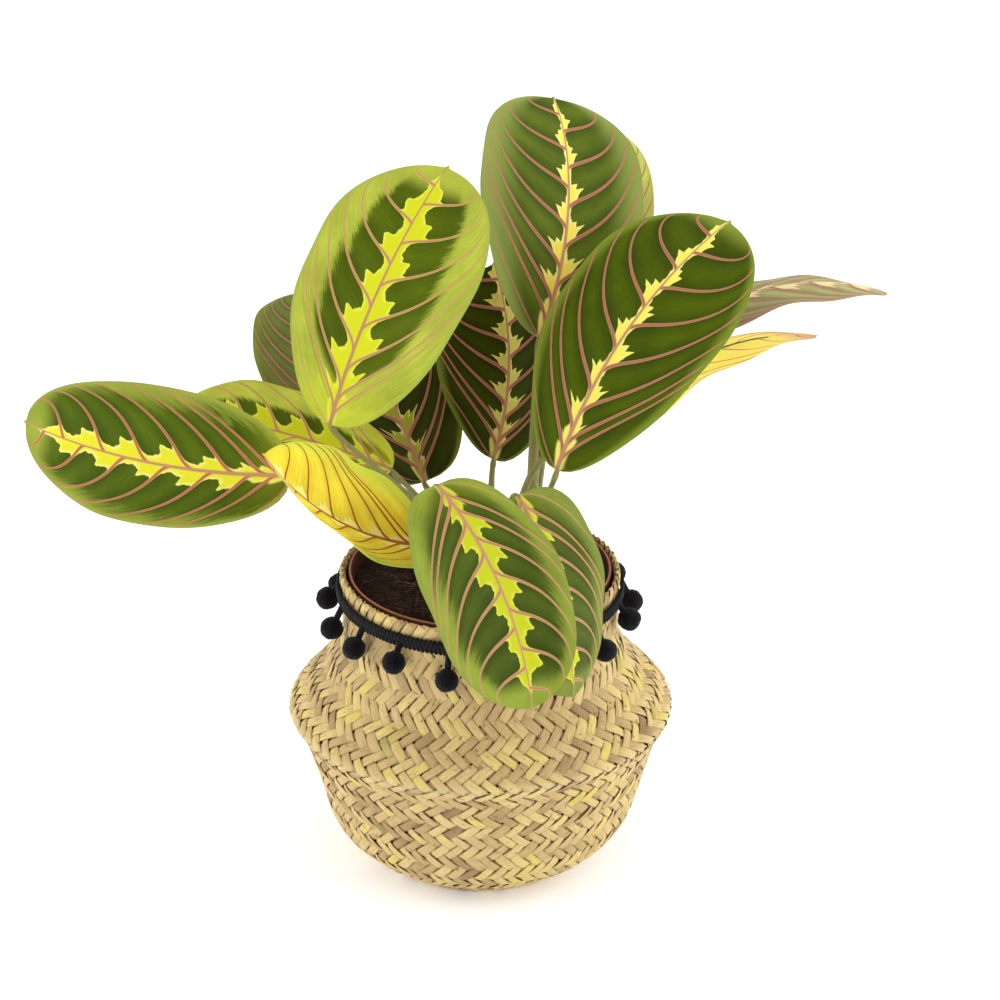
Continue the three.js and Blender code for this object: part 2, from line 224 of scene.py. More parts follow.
for name, (place, width, power) in LIGHTS.items():
    light_data = bpy.data.lights.new(name, "AREA")
    light_data.energy = power
    light_data.size = width
    light = add_object(name, light_data)
    light.location = place
    light.rotation_euler = (LIGHT_AIM - light.location).to_track_quat("-Z", "Y").to_euler()

# Lit paper: the sheet shines a little by itself, so that only the deepest shadow shows on it.
paper = speckled_material(
    "matt_paper_sweep", [(0.0, "#F6F8FE"), (1.0, "#FAFBFF")], 0.0, {"Scale": 3.0}, roughness=0.9,
    specular_ior_level=0.0, emission_color=linear("#FFFFFF"), emission_strength=FLOOR_GLOW)
bm = bmesh.new()
bmesh.ops.create_grid(bm, x_segments=1, y_segments=1, size=FLOOR_HALF)
floor = mesh_object("floor", bm, [paper])
print("floor half side in metres:", FLOOR_HALF)

# %% [markdown]
# The leaves: where each one is.
#
# A maranta leaf is one oval blade on a stalk that comes out of the soil. The table gives each leaf's place,
# the turns of its blade and its size, as the solids have them. A blade could be sculpted by hand, but a
# formula keeps all fourteen of one kind: the midrib is walked from base to tip, and the halves fold, cup and
# wave away from it.

# %% Leaf table
# Columns: base; heading, rise, roll; length, half widths; droop, sweep; fold, cup, twist; fullness;
# stem; radius, upright.
LEAVES = [
    ((-66, -12, 221), (48, 52, -13), 130, (44, 40), (40, 0), (-1, 5, 4), 1.24, (-5, -6), (1.9, 30)),
    ((27, 30, 245), (85, 51, -28), 121, (37, 46), (54, 17), (3, 7, -14), 1.39, (23.4, 5), (4.4, 45)),
    ((34, -28, 206), (36, 45, -21), 140, (42, 39), (47, -13), (-2, 5, 22), 1.43, (21, -13), (2.0, 30)),
    ((-84, -18, 199), (166, 6, 71), 128, (36, 28), (29, -21), (6, 10, 37), 1.06, (-15, -14), (2.0, 30)),
    ((-22, -45, 177), (198, 37, 27), 95, (29, 31), (-39, -30), (23, 13, -13), 1.09, (-9, -23), (1.8, 30)),
    ((-18, -58, 213), (-53, -50, -4), 109, (38, 30), (49, -11), (3, 8, -7), 1.05, (1, -24), (2.0, 30)),
    ((17, -45, 202), (-52, -65, 6), 94, (34, 34), (31, -10), (-12, 3, 19), 0.88, (11, -21), (2.0, 30)),
    ((6, 50, 176), (90, 64, 18), 95, (33, 35), (19, 45), (13, 16, -6), 1.31, (5, 16), (2.6, 30)),
    ((-26, 42, 168), (128, 46, 10), 106, (33, 32), (24, 1), (9, 13, 0), 1.0, (-7, 15), (1.8, 30)),
    ((-76, 62, 188), (93, 18, 3), 99, (31, 31), (26, 1), (7, 11, 2), 1.1, (-16, 12), (1.8, 30)),
    ((-40, 12, 188), (161, 7, 24), 109, (23, 32), (25, -2), (12, 10, 3), 1.08, (-15, 3), (1.8, 30)),
    ((80, 39, 236), (17, 7, 10), 120, (31, 31), (60, -4), (-10, 12, 4), 1.0, (22, 15), (2.0, 115)),
    ((56, 8, 203), (-10, 32, 34), 117, (30, 30), (65, 4), (-9, 12, -11), 1.0, (15, -4.5), (2.0, 90)),
    ((37, 86, 215), (58, 62, -13), 109, (33, 33), (24, -3), (5, 10, 0), 1.03, (25, 26), (2.0, 30)),
]
print("leaves:", len(LEAVES))

# %% [markdown]
# Walking the midrib.
#
# The midrib bends evenly, so its direction at each share s of its length is the middle direction turned by
# droop and sweep. Adding up small steps gives its points.

# %% Midrib
SPINE_STEPS = 48


def midrib_of(leaf):
    """Two functions of the share s along the midrib: its place, and its directions ahead, across and out."""
    base, (heading, rise, roll), length, _, (droop, sweep), (_, _, twist), _, _, _ = leaf
    heading, rise, roll = (radians(turn) for turn in (heading, rise, roll))
    along = Vector((cos(rise) * cos(heading), cos(rise) * sin(heading), sin(rise)))
    level = Vector((-sin(heading), cos(heading), 0))
    upright = along.cross(level)
    up = upright * cos(roll) + level * sin(roll)
    side = level * cos(roll) - upright * sin(roll)

    def directions(s):
        dip, yaw, turn = (radians(t) * (s - 0.5) for t in (-droop, sweep, twist))
        ahead = along * (cos(dip) * cos(yaw)) + side * (cos(dip) * sin(yaw))
        ahead += up * sin(dip)
        across = side * cos(yaw) - along * sin(yaw)
        out = ahead.cross(across)
        turned = across * cos(turn) - out * sin(turn)
        return ahead, turned, out * cos(turn) + across * sin(turn)

    stops = [Vector(base)]
    for i in range(SPINE_STEPS):
        stops.append(stops[-1] + directions((i + 0.5) / SPINE_STEPS)[0] * (length / SPINE_STEPS))

    def place(s):
        at = min(max(s, 0), 1) * SPINE_STEPS
        i = min(int(at), SPINE_STEPS - 1)
        point = stops[i].lerp(stops[i + 1], at - i)
        return point + directions(s)[0] * (s * length) if s < 0 else point

    return place, directions


print("tip of leaf 1 in mm:", [round(c) for c in midrib_of(LEAVES[0])[0](1)])

# %% [markdown]
# The outline and the surface.
#
# The half width follows a squarish oval with a short drip tip, and the base has two small lobes. These are
# the same formulas that the solids have, so the fine blade lies where the plain one was.

# %% Blade surface
OVAL_END, OVAL_SQUARENESS, OVAL_ROUNDNESS = 0.985, 2.3, 0.56
DRIP_START, DRIP_WIDTH = 0.9, 2
LOBE_DEPTH, LOBE_POWER, LOBE_PLACE = 0.03, 1.6, 0.1
MARGIN_WAVE, WAVES_ALONG = 1.3, 2.5


def oval_share(s, fullness):
    """The half width at s, as a share of its largest."""
    e = min(s / OVAL_END, 1) ** fullness
    oval = max(0, 1 - abs(2 * e - 1) ** OVAL_SQUARENESS) ** OVAL_ROUNDNESS
    return max(oval, DRIP_WIDTH * (1 - s) if s > DRIP_START else 0)


def blade_point(leaf, midrib, s, v):
    """A point of the blade at s along and v across, the direction out, and how far it is from the midrib."""
    place, directions = midrib
    heading, halves, (fold, cup, _), fullness = leaf[1][0], leaf[3], leaf[5], leaf[6]
    away = abs(v)
    near = s / LOBE_PLACE
    share = s - LOBE_DEPTH * away ** LOBE_POWER * near * exp(1 - near)
    half = halves[1 if v > 0 else 0] * oval_share(s, fullness)
    fold, cup = radians(fold), radians(cup)
    reach = (sin(fold + cup * away) - sin(fold)) / cup
    climb = (cos(fold) - cos(fold + cup * away)) / cup
    phase = radians(heading + (90 if v > 0 else 0))
    wave = MARGIN_WAVE * away ** 3 * sin(2 * pi * WAVES_ALONG * s + phase) * sin(pi * s)
    _, across, out = directions(share)
    point = place(share) + across * math.copysign(half * reach, v) + out * (half * climb + wave)
    return point, out, half * away


print("half width share at the middle:", round(oval_share(0.5, 1), 2))

# %% [markdown]
# The veins.
#
# Maranta veins leave the midrib at about 45 degrees and bow forward until they run along the margin. Each
# vein is a line on which one number, its start along the midrib, stays the same. So the blade is a grid
# whose rows are such lines: veins can then be raised by moving whole rows, and the pattern between them can
# be painted with the same two coordinates. Veins of the left and right half alternate.

# %% Vein map
VEIN_BOW = (0.44, 0.5)  # shares of a vein's way forward at v across: b0 v + b1 v^3, and the rest at its start
VEIN_START = 0.05  # the first part of a vein, where it still turns away from the midrib
VEIN_FORWARD = 1.67  # how far forward a vein runs before the margin, in half widths
TIP_ROOM, TIP_SOFTNESS = 0.72, 10  # near the tip it keeps to this share of the length that is left
VEINS_EVEN, VEINS_AT_BASE, BASE_CROWDING = 6.2, 0.9, 0.07
VEINS_BELOW = 2.5
ROLLED_LEAF, ROLLED_LENGTHENING = LEAVES[4], 1.7
OTHER_HALF = 50.5  # added to the vein count on the second half, so that its veins lie between the first's
HALVINGS, START_LIMIT = 30, 1.2
LEAST_GAP = 0.3


def vein_forward(leaf):
    """The rolled young leaf has longer veins than the flat ones."""
    return VEIN_FORWARD * (ROLLED_LENGTHENING if leaf is ROLLED_LEAF else 1)


def vein_place(leaf, start, v):
    """The share s along the midrib at which the vein from start is when it is v across."""
    away = abs(v)
    turning = (1 - sum(VEIN_BOW)) * (1 - exp(-away / VEIN_START))
    bow = turning + VEIN_BOW[0] * away + VEIN_BOW[1] * away ** 3
    free = vein_forward(leaf) * leaf[3][1 if v > 0 else 0] / leaf[2]
    room = TIP_ROOM * (1 - start)
    forward = -math.log(exp(-TIP_SOFTNESS * free) + exp(-TIP_SOFTNESS * room)) / TIP_SOFTNESS
    return min(max(start + forward * bow, 0), 1)


def vein_number(start):
    """The vein count at a start along the midrib. Whole numbers are veins of the first half."""
    if start < 0:
        return VEINS_BELOW * start
    return VEINS_EVEN * start + VEINS_AT_BASE * (1 - exp(-start / BASE_CROWDING))


def start_of(number):
    """The start along the midrib at which the vein count reaches a number, by halving."""
    if number < 0:
        return number / VEINS_BELOW
    low, high = 0.0, START_LIMIT
    for _ in range(HALVINGS):
        middle = (low + high) / 2
        low, high = (middle, high) if vein_number(middle) < number else (low, middle)
    return low


print("veins a side:", int(vein_number(1)))

# %% [markdown]
# One leaf as a mesh.
#
# The blade is a grid wrapped round into a flat envelope: up one face, round the margin, and back along the
# underside. Its vertices get their places from the surface formula. Veins stand up a little and the leaf
# swells between them. The stalk is a second wrapped grid, round a smooth path from the soil to the blade,
# and it runs on under the midrib. Both are in one mesh, because a leaf grows as one piece.

# %% Relief
VEIN_RIDGE, VEIN_RIDGE_WIDTH = 0.22, 0.6
MIDRIB_RIDGE, MIDRIB_WIDTH = 0.3, 0.9
SWELL, SWELL_AWAY, SWELL_GAP = 0.5, 6, 12  # in full from so far off the midrib and in so wide a gap
BLADE_THICK, MARGIN_THICK = 0.6, 0.3
END_FADE = 0.05


def relief(s, v, number, gap, away_mm):
    """How far the surface stands out of the smooth blade, in mm."""
    between = abs((number + (0.5 if v > 0 else 0) + 0.5) % 1 - 0.5)
    fade = min(1, s / END_FADE, (1 - s) / END_FADE) * (1 - abs(v) ** 4)
    ridge = VEIN_RIDGE * exp(-(between * gap / VEIN_RIDGE_WIDTH) ** 2)
    swell = SWELL * sin(pi * between) ** 2 * min(1, away_mm / SWELL_AWAY) * min(1, gap / SWELL_GAP)
    middle = MIDRIB_RIDGE * exp(-(away_mm / MIDRIB_WIDTH) ** 2)
    return (ridge * (1 - exp(-(away_mm / MIDRIB_WIDTH) ** 2)) + swell + middle) * fade


ROW_STOPS = (0, 0.025, 0.055, 0.1, 0.165, 0.25, 0.335, 0.4, 0.445, 0.475)
HALF_COLUMNS = 20
COLUMNS = [0.5 - 0.5 * cos(pi * j / HALF_COLUMNS) for j in range(HALF_COLUMNS + 1)]
COLUMNS = [-v for v in reversed(COLUMNS[1:])] + COLUMNS


def row_starts(leaf):
    """The starts of the grid's rows: close together at each vein of either half."""
    first = -vein_forward(leaf) * max(leaf[3]) / leaf[2]
    half_steps = range(math.floor(2 * vein_number(first)), math.ceil(2 * vein_number(1)))
    numbers = [half_step / 2 + stop for half_step in half_steps for stop in ROW_STOPS]
    starts = [start_of(number) for number in numbers]
    return [first] + [start for start in starts if first < start < 1] + [1.0]


def vein_gap(points, numbers, i, j):
    """The distance in mm between neighbouring veins at a point of the grid, square to them."""
    before, after = max(i - 1, 0), min(i + 1, len(points) - 1)
    apart = points[after][j] - points[before][j]
    along = points[i][min(j + 1, len(points[i]) - 1)] - points[i][max(j - 1, 0)]
    if along.length > 0:
        apart = apart - along * (apart.dot(along) / along.length_squared)
    return max(apart.length / (numbers[after] - numbers[before]), LEAST_GAP)


print("columns across a blade:", len(COLUMNS) - 1)


# %% Blade mesh
def wrap_grid(bm, rows, columns):
    """A grid of faces in the bmesh, with its vertices listed by row and column."""
    made = bmesh.ops.create_grid(bm, x_segments=rows, y_segments=columns, size=1)["verts"]
    return {(round((v.co.x + 1) / 2 * rows), round((v.co.y + 1) / 2 * columns)): v for v in made}


def turn_outwards(bm, faces):
    """Turns closed faces round together if they point inwards, judged by the volume that they hold."""
    bm.normal_update()
    if sum(face.calc_center_median().dot(face.normal) * face.calc_area() for face in faces) < 0:
        bmesh.ops.reverse_faces(bm, faces=faces)


BLADE_WELD = 0.01 * MM


def add_blade(bm, leaf, midrib):
    """The blade with its two maps, and the distance between its veins as an attribute."""
    veins, blade = bm.loops.layers.uv.new("veins"), bm.loops.layers.uv.new("blade")
    gap_layer = bm.verts.layers.float.new("vein_gap")
    starts = row_starts(leaf)
    numbers = [vein_number(start) for start in starts]
    shares = [[vein_place(leaf, start, v) for v in COLUMNS] for start in starts]
    surface = [[blade_point(leaf, midrib, s, v) for s, v in zip(row, COLUMNS)] for row in shares]
    points = [[spot[0] for spot in row] for row in surface]
    count = len(COLUMNS)
    grid = wrap_grid(bm, len(starts) - 1, 2 * count)
    spots = {}
    for i, number in enumerate(numbers):
        for j, v in enumerate(COLUMNS):
            s, (point, out, away_mm) = shares[i][j], surface[i][j]
            gap = vein_gap(points, numbers, i, j)
            ends = min(1, s / END_FADE, (1 - s) / END_FADE)
            thick = MARGIN_THICK + (BLADE_THICK - MARGIN_THICK) * (1 - v * v) * ends
            raised = point + out * relief(s, v, number, gap, away_mm)
            for column, lift in ((j, thick / 2), (2 * count - 1 - j, -thick / 2)):
                vertex = grid[i, column]
                vertex.co = (raised + out * lift) * MM
                vertex[gap_layer] = gap
                spots[vertex] = (v, number, away_mm, s)
        grid[i, 2 * count].co = grid[i, 0].co
        grid[i, 2 * count][gap_layer] = grid[i, 0][gap_layer]
        spots[grid[i, 2 * count]] = spots[grid[i, 0]]
    under = {grid[i, j] for i in range(len(starts)) for j in range(count, 2 * count)}
    for face in bm.faces:
        other = sum(spots[vertex][0] for vertex in face.verts) > 0
        face.material_index = 1 if all(vertex in under for vertex in face.verts) else 0
        for loop in face.loops:
            v, number, away_mm, s = spots[loop.vert]
            loop[veins].uv = (number + (OTHER_HALF if other else 0), away_mm)
            loop[blade].uv = (s, abs(v))
    top_faces, under_faces = ([face for face in bm.faces if face.material_index == k] for k in (0, 1))
    bmesh.ops.triangulate(bm, faces=top_faces, quad_method="FIXED")
    bmesh.ops.triangulate(bm, faces=under_faces, quad_method="ALTERNATE")
    bmesh.ops.remove_doubles(bm, verts=bm.verts, dist=BLADE_WELD)
    turn_outwards(bm, bm.faces[:])


print("rows along leaf 1:", len(row_starts(LEAVES[0])) - 1)


# %% Stalk mesh
SOIL_TOP = 140.6
STALK_FOOT = SOIL_TOP + 1
STALK_ROOT = 115
STALK_NECK, NECK_LIFT = 8, 0.9
STALK_TIP_RADIUS = 1.15
STALK_SIDES, STALK_STEPS, RIB_STEPS = 10, 26, 12
RIB_END, RIB_END_RADIUS = 0.8, 0.3
NECK_SWELLING, SWELLING_SHARE, SWELLING_WIDTH = 0.25, 0.9, 0.06
EMBEDDED = 0.6  # share of its radius by which the rib lies off the blade


def stalk_path(leaf, midrib):
    """Points from the root through the stalk to the midrib's underside, each with a radius."""
    place, directions = midrib
    ahead, _, out = directions(0)
    foot_radius, upright = leaf[8]
    foot = Vector((*leaf[7], STALK_FOOT))
    neck = place(0) - (ahead + Vector((0, 0, NECK_LIFT))).normalized() * STALK_NECK
    end = place(0) - out * STALK_TIP_RADIUS * EMBEDDED
    corners = (foot, Vector((*leaf[7], SOIL_TOP + upright)), neck, end)
    path = [(Vector((*leaf[7], STALK_ROOT)), foot_radius)]
    for i in range(STALK_STEPS + 1):
        t = i / STALK_STEPS
        weights = ((1 - t) ** 3, 3 * t * (1 - t) ** 2, 3 * t * t * (1 - t), t ** 3)
        point = sum((corner * weight for corner, weight in zip(corners, weights)), Vector())
        swelling = 1 + NECK_SWELLING * exp(-((t - SWELLING_SHARE) / SWELLING_WIDTH) ** 2)
        path.append((point, (foot_radius + (STALK_TIP_RADIUS - foot_radius) * sqrt(t)) * swelling))
    for i in range(1, RIB_STEPS + 1):
        s = RIB_END * i / RIB_STEPS
        radius = STALK_TIP_RADIUS + (RIB_END_RADIUS - STALK_TIP_RADIUS) * sqrt(i / RIB_STEPS)
        path.append((place(s) - directions(s)[2] * (BLADE_THICK / 2 + radius * EMBEDDED), radius))
    return path


def add_tube(bm, path, sides, material_index=0):
    """A closed round tube along points that each have a radius, both in mm."""
    grid = wrap_grid(bm, len(path) - 1, sides)
    across = Vector((1, 0, 0))
    for i, (point, radius) in enumerate(path):
        ahead = (path[min(i + 1, len(path) - 1)][0] - path[max(i - 1, 0)][0]).normalized()
        across = (across - ahead * across.dot(ahead)).normalized()
        side = ahead.cross(across)
        for j in range(sides + 1):
            angle = 2 * pi * j / sides
            offset = across * cos(angle) + side * sin(angle)
            grid[i, j].co = (point + offset * radius) * MM
    made = list(grid.values())
    merged = bmesh.ops.find_doubles(bm, verts=made, dist=WELD)["targetmap"]
    bmesh.ops.weld_verts(bm, targetmap=merged)
    kept = [vertex for vertex in made if vertex.is_valid]
    ends = {edge for vertex in kept for edge in vertex.link_edges if edge.is_boundary}
    bmesh.ops.holes_fill(bm, edges=list(ends), sides=sides)
    faces = {face for vertex in kept for face in vertex.link_faces}
    for face in faces:
        face.material_index = material_index
    turn_outwards(bm, list(faces))


print("steps along a stalk:", STALK_STEPS + RIB_STEPS)

# %% [markdown]
# What a maranta leaf is painted with.
#
# The upper side is a dark green or brown-green blade with a jagged lime-yellow feather along the midrib,
# a lime margin on the younger leaves, and raised salmon-red veins. The pattern is drawn from two numbers
# that the mesh carries in its map "veins": the vein count and the distance from the midrib. The fraction of
# the count says how far a point lies between two veins, so one ramp over it gives the feather's lobes and
# teeth, repeated in every gap but never quite alike. A painted picture could do this too, but this pattern
# stays sharp at any size and follows each leaf's own veins.

# %% Leaf pattern
# How far the feather reaches, as a share, from just after one vein (0) to just before the next (1).
LOBED_FEATHER = [(0.0, 1.0), (0.05, 0.84), (0.1, 0.72), (0.22, 0.77), (0.34, 0.84), (0.4, 0.76), (0.45, 0.5),
                 (0.54, 0.42), (0.68, 0.31), (0.84, 0.31), (0.93, 0.44), (1.0, 1.0)]
TOOTHED_FEATHER = [(0.0, 0.6), (0.05, 0.5), (0.12, 0.62), (0.18, 0.7), (0.27, 1.0), (0.32, 0.5), (0.46, 0.56),
                   (0.52, 0.24), (0.74, 0.14), (0.92, 0.2), (1.0, 0.5)]
SMOOTH = {"interpolation_type": "SMOOTHSTEP"}
print("feather stops:", len(LOBED_FEATHER), len(TOOTHED_FEATHER))


def blade_material(name, look):
    """Waxy living leaf, upper side: satin, with a soft gloss on its swellings."""
    node, finish = new_material(name, roughness=0.5, specular_ior_level=0.06)
    veins, blade = (node("SeparateXYZ", node("UVMap", uv_map=name)).outputs for name in ("veins", "blade"))
    (count, away), (along, across) = veins[:2], blade[:2]
    gap = node("Attribute", attribute_name="vein_gap").outputs["Fac"]

    def noise_along_veins(count_scale, away_scale, detail, roughness):
        """Uneven streaks: finer across the veins than along them."""
        keys = [node("Math", number, scale, operation="MULTIPLY")
                for number, scale in ((count, count_scale), (away, away_scale))]
        place = node("CombineXYZ", *keys, look["seed"])
        return node("TexNoise", {"Vector": place, "Scale": 1.0, "Detail": detail, "Roughness": roughness})

    # Each gap between veins gets its own chance value, and fine streaks run along the veins. from_base counts
    # the veins of both halves from the base.
    part = node("Math", count, operation="FRACT")
    to_vein = node("Math", count, 0.5, operation="PINGPONG")
    from_base = node("Math", count, OTHER_HALF - 5, -5.0, operation="WRAP")
    order = node("Math", node("Math", count, operation="FLOOR"), look["seed"], operation="ADD")
    chance = node("TexWhiteNoise", {"W": order}, noise_dimensions="1D")
    calm = node("MapRange", along, 0.97, 0.82)
    streaks = node("Mix", {0: calm, 2: 0.5, 3: noise_along_veins(26.0, 0.16, 3.0, 0.6)}, data_type="FLOAT")
    place = node("TexCoord").outputs["Object"]
    mottle = node("TexNoise", {"Vector": place, "Scale": 45.0, "Detail": 3.0})

    # The feather reaches out from the midrib as far as the ramp says, in mm.
    shape = add_stops(node("ValToRGB", part), look["feather_shape"])
    width = node("MapRange", along, 0.05, 0.9, *look["feather_mm"])
    spread = node("MapRange", chance, 0.0, 1.0, 0.78, 1.15)
    near_tip = node("MapRange", along, look["feather_end"] + 0.05, look["feather_end"] - 0.08, **SMOOTH)
    near_base = node("MapRange", along, 0.02, 0.27, 0.1, **SMOOTH)
    edge = node("Math", shape, width, operation="MULTIPLY")
    edge = node("Math", edge, spread, operation="MULTIPLY")
    jag = node("Math", noise_along_veins(6.0, 0.3, 2.0, 0.5), 2.4, -1.2, operation="MULTIPLY_ADD")
    edge = node("Math", edge, jag, operation="ADD")
    for share in (near_base, near_tip):
        edge = node("Math", edge, share, operation="MULTIPLY")

    # Towards the base it shrinks to a softer band, which bulges a little between the veins.
    band = node("MapRange", along, 0.32, 0.08, 0.0, 3.4, **SMOOTH)
    bulge = node("Math", to_vein, 1.1, 0.7, operation="MULTIPLY_ADD")
    foot = node("MapRange", along, -0.03, 0.09, 0.3, **SMOOTH)
    for share in (bulge, foot):
        band = node("Math", band, share, operation="MULTIPLY")
    edge = node("Math", edge, band, 0.8, operation="SMOOTH_MAX")
    inside = node("Math", edge, away, operation="SUBTRACT")
    softness = node("MapRange", along, 0.0, 0.22, 4.5, 1.0)
    step = node("Math", inside, softness, operation="DIVIDE")
    feather = node("MapRange", step, -0.22, 0.22, **SMOOTH)

    # The dark blotches end towards the margin, in streaks, and before the base and the tip.
    reach, tilt, blur = look["dark_reach"], look["dark_tilt"], look["dark_blur"]
    outer = node("MapRange", part, 0.0, 1.0, reach + tilt, reach - tilt)
    outer = node("Math", outer, across, operation="SUBTRACT")
    wander = node("Math", chance, 0.14, outer, operation="MULTIPLY_ADD")
    streak = node("Math", streaks, 0.5, operation="SUBTRACT")
    ragged_end = node("Math", streak, blur * 6, wander, operation="MULTIPLY_ADD")
    dark = node("MapRange", ragged_end, -blur, blur, **SMOOTH)
    after_base = node("MapRange", from_base, look["base_lime"] - 0.35, look["base_lime"] + 0.35, **SMOOTH)
    before_tip = node("MapRange", along, look["tip_lime"] + 0.03, look["tip_lime"] - 0.05, **SMOOTH)
    for share in (after_base, before_tip):
        dark = node("Math", dark, share, operation="MULTIPLY")

    # Ground colours: dark green between the veins, lime outside it, both a little uneven. The dark green
    # turns to a darker painted shade next to the veins, so the middle of each swelling looks lit.
    middle = node("MapRange", to_vein, 0.02, 0.4)
    green = node("MixRGB", middle, look["dark_painted_shade"], look["dark"])
    lime = node("MixRGB", streaks, look["lime_shade"], look["lime"])
    colour = node("MixRGB", dark, lime, green)
    for noise_node, low, high in ((streaks, 0.86, 1.12), (mottle, 0.82, 1.15)):
        shading = node("MapRange", noise_node, 0.3, 0.7, low, high)
        colour = node("MixRGB", 1.0, colour, shading, blend_type="MULTIPLY")
    at_base = node("MapRange", along, 0.22, 0.04, 0.0, look["base_glow"], **SMOOTH)
    at_margin = node("MapRange", across, look["margin_from"], 0.99, 0.0, 0.9, **SMOOTH)
    rim = node("MapRange", inside, 0.1, 1.6)
    yellow = node("MixRGB", rim, look["feather_edge"], look["feather"])

    # The veins narrow outwards, and a paler line edges each.
    vein_mm = node("Math", to_vein, gap, operation="MULTIPLY")
    half = node("MapRange", across, 0.0, 1.0, look["vein_mm"], look["vein_mm"] * 0.35)
    ratio = node("Math", vein_mm, half, operation="DIVIDE")
    core = node("MapRange", ratio, 1.15, 0.45, **SMOOTH)
    halo = node("MapRange", ratio, 1.6, 0.85, 0.0, 0.85, **SMOOTH)
    for number, start, end in ((across, 1.0, 0.92), (from_base, -1.3, 0.4), (along, 0.985, 0.93)):
        fading = node("MapRange", number, start, end, **SMOOTH)
        core, halo = (node("Math", line, fading, operation="MULTIPLY") for line in (core, halo))
    half_rib = node("MapRange", along, 0.0, 1.0, 1.15, 0.3)
    rib_ratio = node("Math", away, half_rib, operation="DIVIDE")
    rib = node("MapRange", rib_ratio, 1.25, 0.5, **SMOOTH)

    # Each layer of the pattern lies over the ones before it.
    layers = ((at_base, look["feather"]), (at_margin, look["margin"]), (feather, yellow),
              (halo, look["vein_edge"]), (core, look["vein"]), (rib, look["midrib"]))
    for mask, tone in layers:
        colour = node("MixRGB", mask, colour, tone)
    return finish(colour, streaks, 0.1 * MM)


# %% Leaf looks
# In each look the second dark colour is painted shade, laid next to the veins.
GREEN_LEAF = dict(
    dark="#485800", dark_painted_shade="#364400", lime="#8E9A34", lime_shade="#76842C", margin="#7C8C2C",
    feather="#E6E25A", feather_edge="#E8E67C", feather_mm=(10.0, 8.5), feather_shape=TOOTHED_FEATHER,
    feather_end=0.97, dark_reach=1.1, dark_tilt=0.0, dark_blur=0.06, base_lime=-1.2, tip_lime=1.1,
    margin_from=0.84, base_glow=0.0, vein="#A86650", vein_edge="#C6946E", midrib="#BC8A64", vein_mm=0.73)
LIME_LEAF = GREEN_LEAF | dict(
    dark="#506004", dark_painted_shade="#445400", lime="#B6BC46", lime_shade="#9AA834", margin="#9CAA44",
    feather="#CCD020", feather_edge="#DCE04C", feather_mm=(15.0, 12.0), feather_shape=LOBED_FEATHER,
    feather_end=0.92, dark_reach=0.54, dark_tilt=-0.03, dark_blur=0.06, base_lime=1.0, tip_lime=0.9,
    margin_from=0.93, base_glow=0.4, vein="#B8845A", vein_edge="#CCAE6A", midrib="#B4885C", vein_mm=0.68)
LOBED_LEAF = GREEN_LEAF | dict(
    dark="#485814", dark_painted_shade="#354508", lime="#929E38", lime_shade="#7A8C30", margin="#86923E",
    feather="#BCC222", feather_edge="#D2D448", feather_mm=(12.5, 8.5), feather_shape=LOBED_FEATHER,
    feather_end=0.9, dark_reach=0.68, dark_tilt=0.03, dark_blur=0.1, base_lime=-0.3, tip_lime=0.9,
    margin_from=0.9, base_glow=0.1, vein="#B27C58", vein_edge="#C8A472")
YELLOW_LEAF = GREEN_LEAF | dict(
    dark="#EEDA40", dark_painted_shade="#E0C830", lime="#EADA44", lime_shade="#DEC82C", margin="#C8D44A",
    feather="#F2E678", feather_edge="#F4EC98", feather_mm=(6.0, 3.5), margin_from=0.6,
    vein="#9A5426", vein_edge="#C88E34", midrib="#A8682E", vein_mm=0.5)
LEAF_LOOKS = {
    1: LIME_LEAF,
    # Leaf 2's broad grey-green margin is partly its own paler edge and partly a painted sheen.
    2: GREEN_LEAF | dict(dark="#586818", dark_painted_shade="#3E4E0E", margin="#8E9C4C", margin_from=0.5,
                         feather="#F0DE58", feather_edge="#F0E890", feather_mm=(13.0, 4.0)),
    3: GREEN_LEAF | dict(feather="#ECE05E", feather_mm=(9.5, 6.5), tip_lime=0.95),
    4: LOBED_LEAF | dict(dark="#4E600E", dark_painted_shade="#3A4C08", feather="#DCD82E", feather_edge="#E8E57A",
                         feather_mm=(10.0, 9.0), lime="#9EA63C", margin="#969E44", dark_reach=0.76,
                         dark_blur=0.12, base_lime=-1.2, vein="#AC6A48", vein_edge="#D0966E"),
    5: YELLOW_LEAF,
    6: LOBED_LEAF,
    7: LOBED_LEAF | dict(dark="#4C5A18", dark_painted_shade="#3C4A12", lime="#848E3C", lime_shade="#6E7F32",
                         margin="#7A883C", dark_reach=0.72),
    8: GREEN_LEAF | dict(dark="#3A4402", dark_painted_shade="#2A3200", feather="#D8D060"),
    9: GREEN_LEAF | dict(dark="#3A420A", dark_painted_shade="#2A3006", feather="#A4A830", feather_mm=(12.0, 8.0)),
    10: GREEN_LEAF | dict(dark="#727C34", dark_painted_shade="#58642A"),
    # Leaf 11's dark reaching right down to its base is painted shade, where leaf 1 hangs over it.
    11: LIME_LEAF | dict(lime="#C8CE4C", lime_shade="#ACB63A", margin="#B4BC44", dark_reach=0.45,
                         base_lime=-1.2),
    12: GREEN_LEAF | dict(dark="#A8A468", dark_painted_shade="#86784E", margin="#B48268", feather="#E8D898",
                          feather_edge="#D8A888", base_lime=-3),
    13: YELLOW_LEAF | dict(margin="#D09060"),
    14: LIME_LEAF | dict(lime="#DCE078", lime_shade="#C4CC60", margin="#CCD464"),
}
print("looks:", len(LEAF_LOOKS))


